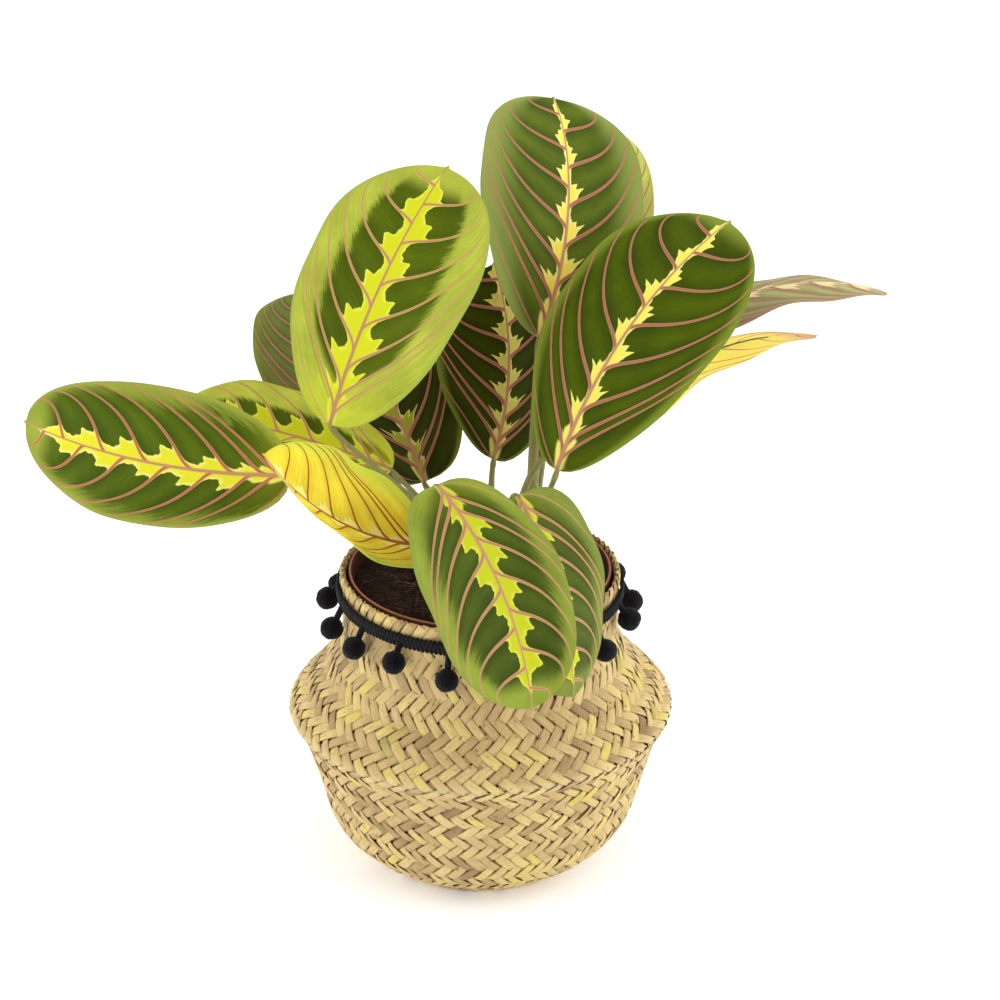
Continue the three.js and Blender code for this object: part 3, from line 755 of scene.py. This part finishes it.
# %% Underside and stalk materials
def underside_material(name, ground, shade, vein, tip):
    """Living leaf, underside: wine red from a pigment, or yellow as it ages. Matt, with raised veins."""
    node, finish = new_material(name, roughness=0.55, specular_ior_level=0.2)
    count = node("SeparateXYZ", node("UVMap", uv_map="veins")).outputs["X"]
    along = node("SeparateXYZ", node("UVMap", uv_map="blade")).outputs["X"]
    gap = node("Attribute", attribute_name="vein_gap").outputs["Fac"]
    vein_mm = node("Math", node("Math", count, 0.5, operation="PINGPONG"), gap, operation="MULTIPLY")
    at_tip = node("MapRange", along, 0.78, 1.0, **SMOOTH)
    at_vein = node("MapRange", vein_mm, 0.8, 0.3)
    patches = node("TexNoise", {"Vector": node("TexCoord").outputs["Object"], "Scale": 60.0, "Detail": 3.0})
    colour = node("MixRGB", patches, shade, ground)
    for mask, tone in ((at_tip, tip), (at_vein, vein)):
        colour = node("MixRGB", mask, colour, tone)
    return finish(colour, patches, 0.1 * MM)


def stalk_material():
    """Living leaf stalk: olive green skin with fine lengthwise lines, redder towards the soil."""
    node, finish = new_material("maranta_stalk", roughness=0.5, specular_ior_level=0.25)
    place = node("TexCoord").outputs["Object"]
    stretched = node("Mapping", {"Vector": place, "Scale": (1.0, 1.0, 0.08)})
    lines = node("TexNoise", {"Vector": stretched, "Scale": 1400.0, "Detail": 2.0})
    green = node("MixRGB", lines, "#6C6C38", "#9E9A56")
    low = node("MapRange", node("SeparateXYZ", place).outputs["Z"], 0.17, 0.13, 0.0, 0.6)
    return finish(node("MixRGB", low, green, "#6A4230"), lines, 0.15 * MM)


red_underside = underside_material("maranta_red_underside", ground="#8C5058", shade="#6E3A46", vein="#B98272",
                                   tip="#8C5058")
yellow_underside = underside_material("maranta_yellow_underside", ground="#EEDC48", shade="#DCC636",
                                      vein="#B4603A", tip="#CC8C68")
stalk_skin = stalk_material()
print("shared by the leaves:", red_underside.name, yellow_underside.name, stalk_skin.name)

# %% Grow the leaves
YELLOW_LEAVES = (5, 13)
SEED_STEP = 7.3  # so that no two leaves have the same noise
for number, leaf in enumerate(LEAVES, 1):
    midrib = midrib_of(leaf)
    bm = bmesh.new()
    add_blade(bm, leaf, midrib)
    add_tube(bm, stalk_path(leaf, midrib), STALK_SIDES, 2)
    look = LEAF_LOOKS[number] | dict(seed=SEED_STEP * number)
    yellow = number in YELLOW_LEAVES
    slot, underside = ("yellow_leaf", yellow_underside) if yellow else ("green_leaf", red_underside)
    materials = [blade_material(numbered("maranta_blade", number), look), underside, stalk_skin]
    make_piece(numbered("maranta_leaf", number), bm, materials, [numbered("leaf", number)],
               smooth_angle=60)

# %% [markdown]
# The belly basket: its wall.
#
# A belly basket is plaited from flat strips of dried seagrass. It starts as a tall bag, and its upper half is
# pushed down until the wall folds outwards at the belly. The wall's outline is a smooth line from inside the
# rim, over it and down to the fold, then a second one down to the base. A measured wall lets a strip find its
# place by how far it has run.

# %% Wall outline
# Radius and height in mm, as the solids have them, with the turned-in rim before them.
RIM_TURN = [(61.3, 137.5), (61.3, 143.2), (62.3, 145), (63.3, 143.6), (63.2, 140)]
SHOULDER = [(63, 137), (62.7, 127), (62.8, 117), (65.2, 107), (70.7, 97), (80, 87), (88.9, 77)]
BOWL = [(88.9, 77), (83.4, 68), (80.5, 60), (77.6, 50), (74.7, 40), (72, 30), (67.9, 20), (60, 11.5), (45, 0)]
OUTLINE_STEPS = 10
WALL_STEP = 0.6  # the wall's direction is read over so much on either side


def smooth_line(corners, steps):
    """Points on a smooth line through the corners: a Catmull-Rom curve, as the solids use."""
    points = []
    for i in range(len(corners) - 1):
        a, b, c, d = (Vector(corners[min(max(k, 0), len(corners) - 1)]) for k in (i - 1, i, i + 1, i + 2))
        for step in range(steps):
            t = step / steps
            points.append(0.5 * (2 * b + (c - a) * t + (2 * a - 5 * b + 4 * c - d) * t ** 2
                                 + (3 * b - 3 * c + d - a) * t ** 3))
    return points + [Vector(corners[-1])]


WALL = smooth_line(RIM_TURN + SHOULDER, OUTLINE_STEPS) + smooth_line(BOWL, OUTLINE_STEPS)[1:]
WALL_RUN = [0.0]
for here, there in zip(WALL, WALL[1:]):
    WALL_RUN.append(WALL_RUN[-1] + (there - here).length)
print("wall length in mm:", round(WALL_RUN[-1]))


def between_stops(stops, values, at):
    """The value at a place among rising stops, in a straight line between two of them."""
    at = min(max(at, stops[0]), stops[-1])
    high = max(bisect.bisect_left(stops, at), 1)
    share = (at - stops[high - 1]) / (stops[high] - stops[high - 1])
    return values[high - 1] + (values[high] - values[high - 1]) * share


def wall_place(run):
    """Radius and height at a run along the wall, and the direction out of the wall."""
    before, point, after = (between_stops(WALL_RUN, WALL, run + step) for step in (-WALL_STEP, 0, WALL_STEP))
    ahead = after - before
    return point, Vector((-ahead.y, ahead.x)).normalized()


# %% [markdown]
# The belly basket: its strips.
#
# There are 70 strips each way. They climb the wall in two mirrored spirals, and each goes over two and under
# two. Every crossing at one height is alike, so the strips show as level rows of slanted bricks that lean
# left in one row and right in the next. The slant isn't free: a strip of steady width fills its share of the
# girth at a steeper angle where the basket is narrow. One strip is a grid wrapped into a slim closed sleeve
# and laid along its spiral, and a spin makes the other 69. A shader alone could fake the rows, but the real
# gaps, edges and shadows of the plait only come from strips that truly cross.

# %% Strip layout
STRIPS = 70
STRIP_WIDTH = 4.8
STEEPEST_NECK, STEEPEST_BOWL = 0.9, 0.84  # sines of the steepest slants
STRIP_FILL = 0.96
PLAIT_DEPTH, PLAIT_INSET, PLAIT_FLATNESS = 0.62, 0.5, 1.6
STRIP_DOME = 0.32
STRIP_SECTION = [(-1, 0), (-0.6, 1), (0.6, 1), (1, 0)]  # share of the half width, share of the dome
STRIP_TILT, TILT_TURNS = 0.25, 0.6
SLIMMER, LEAN = (-0.16, 0.1), (-0.18, 0.18)  # chance differences of a strip, in shares of its width
ROWS_A_CROSSING = 2.5
WANDER, WANDER_SCALE, WANDER_SEED = 0.55, 28, 4
STEP_ALONG = 0.5

crossings, sines, runs = [0.0], [], []
run = 0.0
fold_run = WALL_RUN[len(smooth_line(RIM_TURN + SHOULDER, OUTLINE_STEPS)) - 1]
while run < WALL_RUN[-1]:
    radius = wall_place(run)[0].x
    steepest = STEEPEST_NECK if run < fold_run else STEEPEST_BOWL
    sine = min(STRIP_WIDTH / (2 * pi * radius / STRIPS), steepest)
    turn = STEP_ALONG * sqrt(1 - sine ** 2) / sine / radius
    sines.append(sine)
    runs.append(run)
    crossings.append(crossings[-1] + turn * STRIPS / pi)
    run += STEP_ALONG
crossings.pop()
print("crossings along a strip:", round(crossings[-1], 1))


# %% Plait the strips
def strip_point(crossing, across, dome, over):
    """A point of one strip: how many crossings down, and where in its section."""
    run = between_stops(crossings, runs, crossing)
    sine = between_stops(crossings, sines, crossing)
    half = across * STRIP_FILL * pi / STRIPS
    radius = between_stops(WALL_RUN, WALL, run).x
    point, out = wall_place(run + sqrt(1 - sine ** 2) * half * sine * radius)
    height = PLAIT_DEPTH * min(max(PLAIT_FLATNESS * cos(pi / 2 * (crossing - 0.5)), -1), 1) * over
    spot = point + out * (height - PLAIT_INSET + dome * STRIP_DOME)
    return around(spot.x, crossing * pi / STRIPS - sine ** 2 * half, max(spot.y, 0))


def plait(name, over, seed, material):
    """All strips that climb one way. over is 1 or -1, and also mirrors the spiral."""
    bm = bmesh.new()
    strip_layer, crossing_layer, across_layer = (
        bm.verts.layers.float.new(name) for name in ("strip", "crossing", "across"))
    rows = round(crossings[-1] * ROWS_A_CROSSING)
    sides = len(STRIP_SECTION)
    grid = wrap_grid(bm, rows, sides)
    for (i, j), vertex in grid.items():
        across, dome = STRIP_SECTION[j % sides]
        crossing = crossings[-1] * i / rows
        vertex.co = strip_point(crossing, across, dome, over) * MM
        vertex.co.y *= over
        vertex[crossing_layer] = crossing
        vertex[across_layer] = across
    bmesh.ops.remove_doubles(bm, verts=bm.verts, dist=WELD)
    ends = [edge for edge in bm.edges if edge.is_boundary]
    bmesh.ops.holes_fill(bm, edges=ends, sides=sides)
    bmesh.ops.recalc_face_normals(bm, faces=bm.faces)
    strip_size = len(bm.verts)
    whole = bm.verts[:] + bm.edges[:] + bm.faces[:]
    bmesh.ops.spin(bm, geom=whole, **UPRIGHT, angle=2 * pi * (STRIPS - 1) / STRIPS, steps=STRIPS - 1,
                   use_duplicate=True)
    random.seed(seed)
    bm.verts.ensure_lookup_table()
    for strip in range(STRIPS):
        slimmer = random.uniform(*SLIMMER)
        lean = random.uniform(*LEAN)
        tilt = random.gauss(0, STRIP_TILT)
        for vertex in bm.verts[strip * strip_size:(strip + 1) * strip_size]:
            vertex[strip_layer] = strip + (STRIPS if over > 0 else 0)
            turn = (lean - slimmer * vertex[across_layer] * over) * pi / STRIPS
            vertex.co.rotate(Matrix.Rotation(turn, 3, "Z"))
            tipped = tilt * vertex[across_layer] * sin(vertex[crossing_layer] * TILT_TURNS + strip)
            vertex.co += Vector((vertex.co.x, vertex.co.y, 0)).normalized() * tipped * MM
            vertex.co += noise.noise_vector(vertex.co * WANDER_SCALE) * WANDER * MM
            vertex.co.z = max(vertex.co.z, 0)
    make_piece(name, bm, [material], ["basket"], smooth_angle=50)


print("top of a strip in mm:", [round(c) for c in strip_point(0, 0, 0, 1)])

# %% [markdown]
# Seagrass strips: the finish.
#
# Dried seagrass keeps a mix of straw, yellow, olive and grey-pink, strip by strip and even bend by bend. It
# has fine fibres along it and is duller where strips rub. Each brick's colour is drawn from a ramp by a
# random value of its strip and its place, fibres are a noise that is stretched along the strip, and the
# edges are painted darker: painted shade where neighbouring strips meet and tuck under each other.

# %% Seagrass material
STRAW_TONES = [(0.0, "#987C54"), (0.18, "#BEA26E"), (0.38, "#D0B47A"), (0.58, "#DEC386"), (0.76, "#E2C97E"),
               (0.9, "#E2CC6A"), (1.0, "#B0A264")]


def seagrass_material():
    """Air-dried seagrass, plaited by hand: dull, fibrous, never the same tone twice."""
    node, finish = new_material("dried_seagrass", roughness=0.68, specular_ior_level=0.25)
    strip, crossing, across = (node("Attribute", attribute_name=name).outputs["Fac"]
                               for name in ("strip", "crossing", "across"))
    place = node("TexCoord").outputs["Object"]

    # Two bricks in four crossings: one lies over, one under.
    brick = node("Math", crossing, 0.25, 0.125, operation="MULTIPLY_ADD")
    key = node("CombineXYZ", strip, node("Math", brick, operation="FLOOR"))
    by_brick = node("TexWhiteNoise", {"Vector": key}, noise_dimensions="2D")
    by_strip = node("TexWhiteNoise", {"W": strip}, noise_dimensions="1D")
    patches = node("TexNoise", {"Vector": place, "Scale": 38.0, "Detail": 2.0})
    tone = 0.0
    for chance, weight in ((by_brick, 0.55), (by_strip, 0.25), (patches, 0.4)):
        tone = node("Math", chance, weight, tone, operation="MULTIPLY_ADD")
    straw = add_stops(node("ValToRGB", node("MapRange", tone, 0.22, 1.0)), STRAW_TONES)

    # Fibres run along the strip, about 0.3 mm apart.
    fibre_across = node("Math", across, 7.0, operation="MULTIPLY")
    fibre_along = node("Math", crossing, 0.7, operation="MULTIPLY")
    fibre_key = node("CombineXYZ", fibre_across, fibre_along, strip)
    fibres = node("TexNoise", {"Vector": fibre_key, "Scale": 1.0, "Detail": 3.0, "Roughness": 0.65})
    shading = node("MapRange", fibres, 0.25, 0.75, 0.64, 1.24)
    colour = node("MixRGB", 1.0, straw, shading, blend_type="MULTIPLY")

    # Painted shade along the edges, small brown marks, and a paler frayed line where the wall is folded.
    edge_shade_share = node("Math", across, operation="ABSOLUTE")
    spots = node("TexNoise", {"Vector": place, "Scale": 330.0, "Detail": 1.0})
    height = node("SeparateXYZ", place).outputs["Z"]
    from_fold = node("Math", height, SHOULDER[-1][1] * MM, operation="SUBTRACT")
    from_fold = node("Math", from_fold, operation="ABSOLUTE")
    layers = ((edge_shade_share, 0.8, 1.0, 0.6, "#5E4624"), (spots, 0.66, 0.74, 0.55, "#6E4E2A"),
              (from_fold, 0.0032, 0.0006, 0.45, "#E2CF9A"))
    for value, start, end, share, tone in layers:
        colour = node("MixRGB", node("MapRange", value, start, end, 0.0, share), colour, tone)
    return finish(colour, fibres, 0.35 * MM)


seagrass = seagrass_material()
noise.seed_set(WANDER_SEED)  # one seed for both ways, so that strips which cross wander together
plait("seagrass_strips_rising_left", over=1, seed=11, material=seagrass)
plait("seagrass_strips_rising_right", over=-1, seed=12, material=seagrass)

# %% [markdown]
# The basket's dark inside.
#
# Between the strips one looks into the shade of the wall's second layer. A smooth dark shell just behind the
# strips stands for it, and its floor carries the pot. It is a profile that a full spin turns into a closed
# shell. Under the floor, the strips meet in a square plait, which a brick pattern draws.

# %% Inner shell
SHELL_GAP, SHELL_INNER_GAP = 1.5, 2.35
SHELL_FOOT, SHELL_INNER_FOOT = 6, 12  # how far before the wall's end its faces turn into the base
SHELL_BASE = [(45.5, 0.6), (40, 0.4), (0, 0.4)]
SHELL_TOP, SHELL_FLOOR = 139, 2.3
SHELL_STEP, SHELL_STEPS = 3, 96  # along the wall in mm, and round it


def spin_profile(profile, steps):
    """A closed shell from a profile of radius and height in mm that starts and ends on the axis."""
    bm = bmesh.new()
    vertices = [bm.verts.new((radius * MM, 0, height * MM)) for radius, height in profile]
    edges = [bm.edges.new(pair) for pair in zip(vertices, vertices[1:])]
    bmesh.ops.spin(bm, geom=vertices + edges, **UPRIGHT, angle=2 * pi, steps=steps, use_merge=True,
                   use_duplicate=False)
    bmesh.ops.remove_doubles(bm, verts=bm.verts, dist=WELD)
    bmesh.ops.recalc_face_normals(bm, faces=bm.faces)
    return bm


def shell_line(gap, start, stop):
    """Points that run along the wall between two runs, a gap behind its face."""
    count = round(abs(stop - start) / SHELL_STEP)
    line = []
    for i in range(count + 1):
        point, out = wall_place(start + (stop - start) * i / count)
        line.append(tuple(point - out * gap))
    return line


def shell_material():
    """Seagrass in deep shade inside the wall, and the plaited straw bottom."""
    node, finish = new_material("shaded_seagrass", roughness=0.9)
    place = node("TexCoord").outputs["Object"]
    flecks = node("TexNoise", {"Vector": place, "Scale": 180.0, "Detail": 3.0})
    shade = add_stops(node("ValToRGB", flecks), [(0.35, "#2A1D0C"), (0.65, "#5A4420")])
    turned = node("Mapping", {"Vector": place, "Rotation": (0, 0, radians(45))})
    bricks = node("TexBrick", {
        "Vector": turned, "Scale": 1.0, "Brick Width": 0.009, "Row Height": 0.0045, "Mortar Size": 0.0004,
        "Color1": "#C9AE6C", "Color2": "#B59C62", "Mortar": "#3A2A10"})
    below = node("MapRange", node("SeparateXYZ", place).outputs["Z"], 0.0012, 0.0008)
    return finish(node("MixRGB", below, shade, bricks), flecks, 0.3 * MM)


after_rim = (len(RIM_TURN) - 1) * OUTLINE_STEPS
top_run = next(run for run, point in zip(WALL_RUN[after_rim:], WALL[after_rim:]) if point.y < SHELL_TOP)
outer_line = shell_line(SHELL_GAP, top_run, WALL_RUN[-1] - SHELL_FOOT)
inner_line = [(radius, max(height, SHELL_FLOOR)) for radius, height in
              shell_line(SHELL_INNER_GAP, WALL_RUN[-1] - SHELL_INNER_FOOT, top_run)]
bm = spin_profile([(0, SHELL_FLOOR), *inner_line, *outer_line, *SHELL_BASE], SHELL_STEPS)
make_piece("basket_inner_wall", bm, [shell_material()], ["basket"])

# %% [markdown]
# The nursery pot.
#
# The plant still stands in the thin plastic pot that it was sold in. It is injection moulded in terracotta
# brown, with a rolled rim that stands on a small ledge. A profile with a rounded lip is spun.

# %% Nursery pot
POT_OUTSIDE = [(0, 2.7), (41, 2.7), (56.6, 132.5), (59.2, 133.2), (59.8, 134)]
POT_LIP = [(60, 143.6), (59.85, 144.5), (59.4, 145), (58.9, 144.9), (58.5, 144.2), (58.1, 142.5)]
POT_INSIDE = [(57.7, 139.5), (57.5, 134.8), (55.2, 133), (39.4, 4.3), (0, 4.3)]
POT_STEPS = 128


def pot_material():
    """Injection-moulded polypropylene, terracotta brown and satin. Below its lip it is painted deep shade."""
    node, finish = new_material("moulded_polypropylene", roughness=0.6, specular_ior_level=0.15)
    place = node("TexCoord").outputs["Object"]
    dust = node("TexNoise", {"Vector": place, "Scale": 120.0, "Detail": 4.0})
    clay = node("MixRGB", dust, "#9A5A3C", "#B87656")
    # Below its lip, inside and out, the pot is painted near black: painted shade in the pot and in the gap
    # round it.
    inside = node("MapRange", node("SeparateXYZ", place).outputs["Z"], 0.1449, 0.1445, 0.0, 0.92)
    return finish(node("MixRGB", inside, clay, "#2E120C"), dust, 0.05 * MM)


bm = spin_profile(POT_OUTSIDE + POT_LIP + POT_INSIDE, POT_STEPS)
make_piece("moulded_pot", bm, [pot_material()], ["nursery_pot"])

# %% [markdown]
# The soil.
#
# Potting soil is dark peat with crumbs and pale fibres of coir. It is spun, with fine rings on top that a
# noise lifts into crumbs, and closed below by a wall and a floor. The fibres are short three-sided sticks
# with few faces, laid on it at random with a fixed seed.

# %% Soil
SOIL_EDGE_RADIUS, SOIL_EDGE_HEIGHT, SOIL_CROWN = 56.9, 137, 2.5
SOIL_SIDE = [(56.9, 134.9), (54.2, 132.3)]  # down past the pot's ledge
SOIL_FLOOR_RADIUS, SOIL_FLOOR = 38.5, 4.6
SOIL_RINGS, SOIL_STEPS = 60, 150
CRUMB_HEIGHT, CRUMB_SCALE = 1.9, 190
SMALL_CRUMBS, GRIT = (0.6, 2.3), (0.35, 5)  # their share of the height, and how many times finer they are
EDGE_CALM, CALM_POWER = 0.5, 8
FIBRES, FIBRE_AREA = 420, 0.93
FIBRE_LENGTH, FIBRE_RADIUS, FIBRE_TAPER, FIBRE_LIFT = (4, 13), 0.28, 0.5, 0.2
FIBRE_TURN, FIBRE_DIP, SOIL_SEED = 0.6, 0.15, 5


def soil_height(x, y):
    """The soil's height at a point in mm: a low crown with crumbs."""
    share = math.hypot(x, y) / SOIL_EDGE_RADIUS
    spot = Vector((x, y, 0)) * MM * CRUMB_SCALE
    crumbs = noise.noise(spot) + SMALL_CRUMBS[0] * noise.noise(spot * SMALL_CRUMBS[1])
    crumbs += GRIT[0] * abs(noise.noise(spot * GRIT[1]))
    crumbs *= 1 - EDGE_CALM * share ** CALM_POWER
    return SOIL_EDGE_HEIGHT + SOIL_CROWN * (1 - share ** 2) + CRUMB_HEIGHT * crumbs


# Peat potting soil: near black when moist, dull, with brown crumbs.
peat = speckled_material(
    "peat_potting_soil", [(0.3, "#150E09"), (0.55, "#32231A"), (0.8, "#584330")], 1.2 * MM,
    {"Scale": 420.0, "Detail": 5.0, "Roughness": 0.7}, roughness=0.95, specular_ior_level=0.15)
# Coir fibre: dry, brown to straw.
coir = speckled_material(
    "coir_fibre", [(0.35, "#3A2A1C"), (0.6, "#74583C"), (0.75, "#9A7E56")], 0.1 * MM,
    {"Scale": 90.0, "Detail": 1.0}, roughness=0.85)

top = [(SOIL_EDGE_RADIUS * i / SOIL_RINGS, SOIL_EDGE_HEIGHT) for i in range(SOIL_RINGS + 1)]
bm = spin_profile([*top, *SOIL_SIDE, (SOIL_FLOOR_RADIUS, SOIL_FLOOR), (0, SOIL_FLOOR)], SOIL_STEPS)
for vertex in bm.verts:
    if vertex.co.z > (SOIL_EDGE_HEIGHT - 1) * MM:
        vertex.co.z = soil_height(vertex.co.x / MM, vertex.co.y / MM) * MM
random.seed(SOIL_SEED)
for _ in range(FIBRES):
    angle, reach = random.uniform(0, 2 * pi), SOIL_EDGE_RADIUS * FIBRE_AREA * sqrt(random.random())
    spot = around(reach, angle, FIBRE_LIFT)
    spot.z += soil_height(spot.x, spot.y)
    length = random.uniform(*FIBRE_LENGTH)
    turn, dip = random.gauss(0, FIBRE_TURN), pi / 2 + random.uniform(-FIBRE_DIP, FIBRE_DIP)
    lie = Matrix.Translation(spot * MM) @ Matrix.Rotation(turn, 4, "Z") @ Matrix.Rotation(dip, 4, "Y")
    made = bmesh.ops.create_cone(bm, cap_ends=True, segments=3, radius1=FIBRE_RADIUS * MM,
                                 radius2=FIBRE_RADIUS * FIBRE_TAPER * MM, depth=length * MM, matrix=lie)
    for face in {face for vertex in made["verts"] for face in vertex.link_faces}:
        face.material_index = 1
make_piece("potting_soil_bed", bm, [peat, coir], ["soil"], smooth_angle=70)

# %% [markdown]
# The braid.
#
# A flat braid of near-black cotton is sewn round the neck. It is a plait of three plies that swing up and
# down in turn. One ply is a grid wrapped into a closed ring, and turning it twice by a third of a swing gives
# the other two. Short cords hang from it, one for each pompom.

# %% Braid and cords
BRAID_RADIUS, BRAID_MIDDLE = 64.95, 136
BRAID_SWINGS = 66
BRAID_RISE, BRAID_PUSH = 1.95, 0.4
PLY_HALF_HEIGHT, PLY_HALF_DEPTH = 1.6, 0.6
PLIES, PLY_STEPS, PLY_SIDES = 3, 12, 6
CORD_RADIUS, CORD_SIDES, CORD_STEPS = 1.5, 8, 6
POMPOM_COUNT, POMPOM_RADIUS, POMPOM_RING, POMPOM_HEIGHT = 18, 5.3, 70.2, 125.5
FIRST_POMPOM, POMPOM_CROWDING, CROWDED_SIDE = 157, 5, 215
POMPOM_SWING, SWING_TURN, SWING_LOWEST = 2.2, 2.4, 5  # they hang at slightly different heights
CORD_START = 134.5


def pompom_centre(k):
    """Where pompom k hangs, in mm."""
    evenly = FIRST_POMPOM + 360 / POMPOM_COUNT * k
    angle = radians(evenly + POMPOM_CROWDING * (1 - cos(radians(evenly - CROWDED_SIDE))))
    return around(POMPOM_RING, angle, POMPOM_HEIGHT - POMPOM_SWING * cos(SWING_TURN * (k - SWING_LOWEST)))


def yarn_material(name, lint_scale):
    """Dyed cotton yarn: blue-black, quite matt, with a soft bloom of loose fibre."""
    return speckled_material(
        name, [(0.3, "#0A0A0C"), (0.6, "#17171A"), (0.85, "#2C2C30")], 0.4 * MM,
        {"Scale": lint_scale, "Detail": 3.0}, roughness=0.95, specular_ior_level=0.15, sheen_weight=0.12,
        sheen_roughness=0.5)


bm = bmesh.new()
steps = BRAID_SWINGS * PLY_STEPS
for (i, j), vertex in wrap_grid(bm, steps, PLY_SIDES).items():
    angle, round_ply = 2 * pi * i / steps, 2 * pi * j / PLY_SIDES
    swing = BRAID_SWINGS * angle
    radius = BRAID_RADIUS + BRAID_PUSH * sin(2 * swing) + PLY_HALF_DEPTH * cos(round_ply)
    height = BRAID_MIDDLE + BRAID_RISE * sin(swing) + PLY_HALF_HEIGHT * sin(round_ply)
    vertex.co = around(radius, angle, height) * MM
bmesh.ops.remove_doubles(bm, verts=bm.verts, dist=WELD)
bmesh.ops.spin(bm, geom=bm.verts[:] + bm.edges[:] + bm.faces[:], **UPRIGHT,
               angle=2 * pi * (PLIES - 1) / PLIES / BRAID_SWINGS, steps=PLIES - 1, use_duplicate=True)
for k in range(POMPOM_COUNT):
    centre = pompom_centre(k)
    start = Vector((*centre.xy.normalized() * BRAID_RADIUS, CORD_START))
    path = [(start.lerp(centre, i / CORD_STEPS), CORD_RADIUS) for i in range(CORD_STEPS)]
    add_tube(bm, path, CORD_SIDES)
bmesh.ops.recalc_face_normals(bm, faces=bm.faces)
make_piece("cotton_braid", bm, [yarn_material("braided_cotton", 900.0)], ["trim_braid"],
           smooth_angle=60)

# %% [markdown]
# The pompoms.
#
# A pompom is a bundle of cut yarn, clipped to a ball, so its surface is all yarn ends. Thousands of hairs
# would be lost in an export. Instead a finely divided ball has a point raised in the middle of each face, by
# a different height each, which gives the same velvety outline with real geometry.

# %% Pompoms
TUFT_HEIGHT, TUFT_ROOM, POMPOM_SEED = (0.15, 0.55), 0.3, 100
LUMPS, LUMP_SCALE, LUMP_SHIFT = 0.35, 0.35, 3.1
pompom_yarn = yarn_material("cut_pompom_yarn", 1300.0)
for k in range(POMPOM_COUNT):
    random.seed(POMPOM_SEED + k)
    bm = bmesh.new()
    bmesh.ops.create_icosphere(bm, subdivisions=4, radius=(POMPOM_RADIUS - TUFT_ROOM) * MM)
    centres = bmesh.ops.poke(bm, faces=bm.faces[:])["verts"]
    for vertex in centres:
        vertex.co *= 1 + random.uniform(*TUFT_HEIGHT) / POMPOM_RADIUS
    shift = Vector((k * LUMP_SHIFT, 0, 0))
    for vertex in bm.verts:
        vertex.co *= 1 + LUMPS * noise.noise(vertex.co / MM * LUMP_SCALE + shift) / POMPOM_RADIUS
    bmesh.ops.translate(bm, verts=bm.verts, vec=pompom_centre(k) * MM)
    pompom = numbered("pompom", k + 1)
    make_piece("yarn_" + pompom, bm, [pompom_yarn], [pompom], smooth_angle=180)
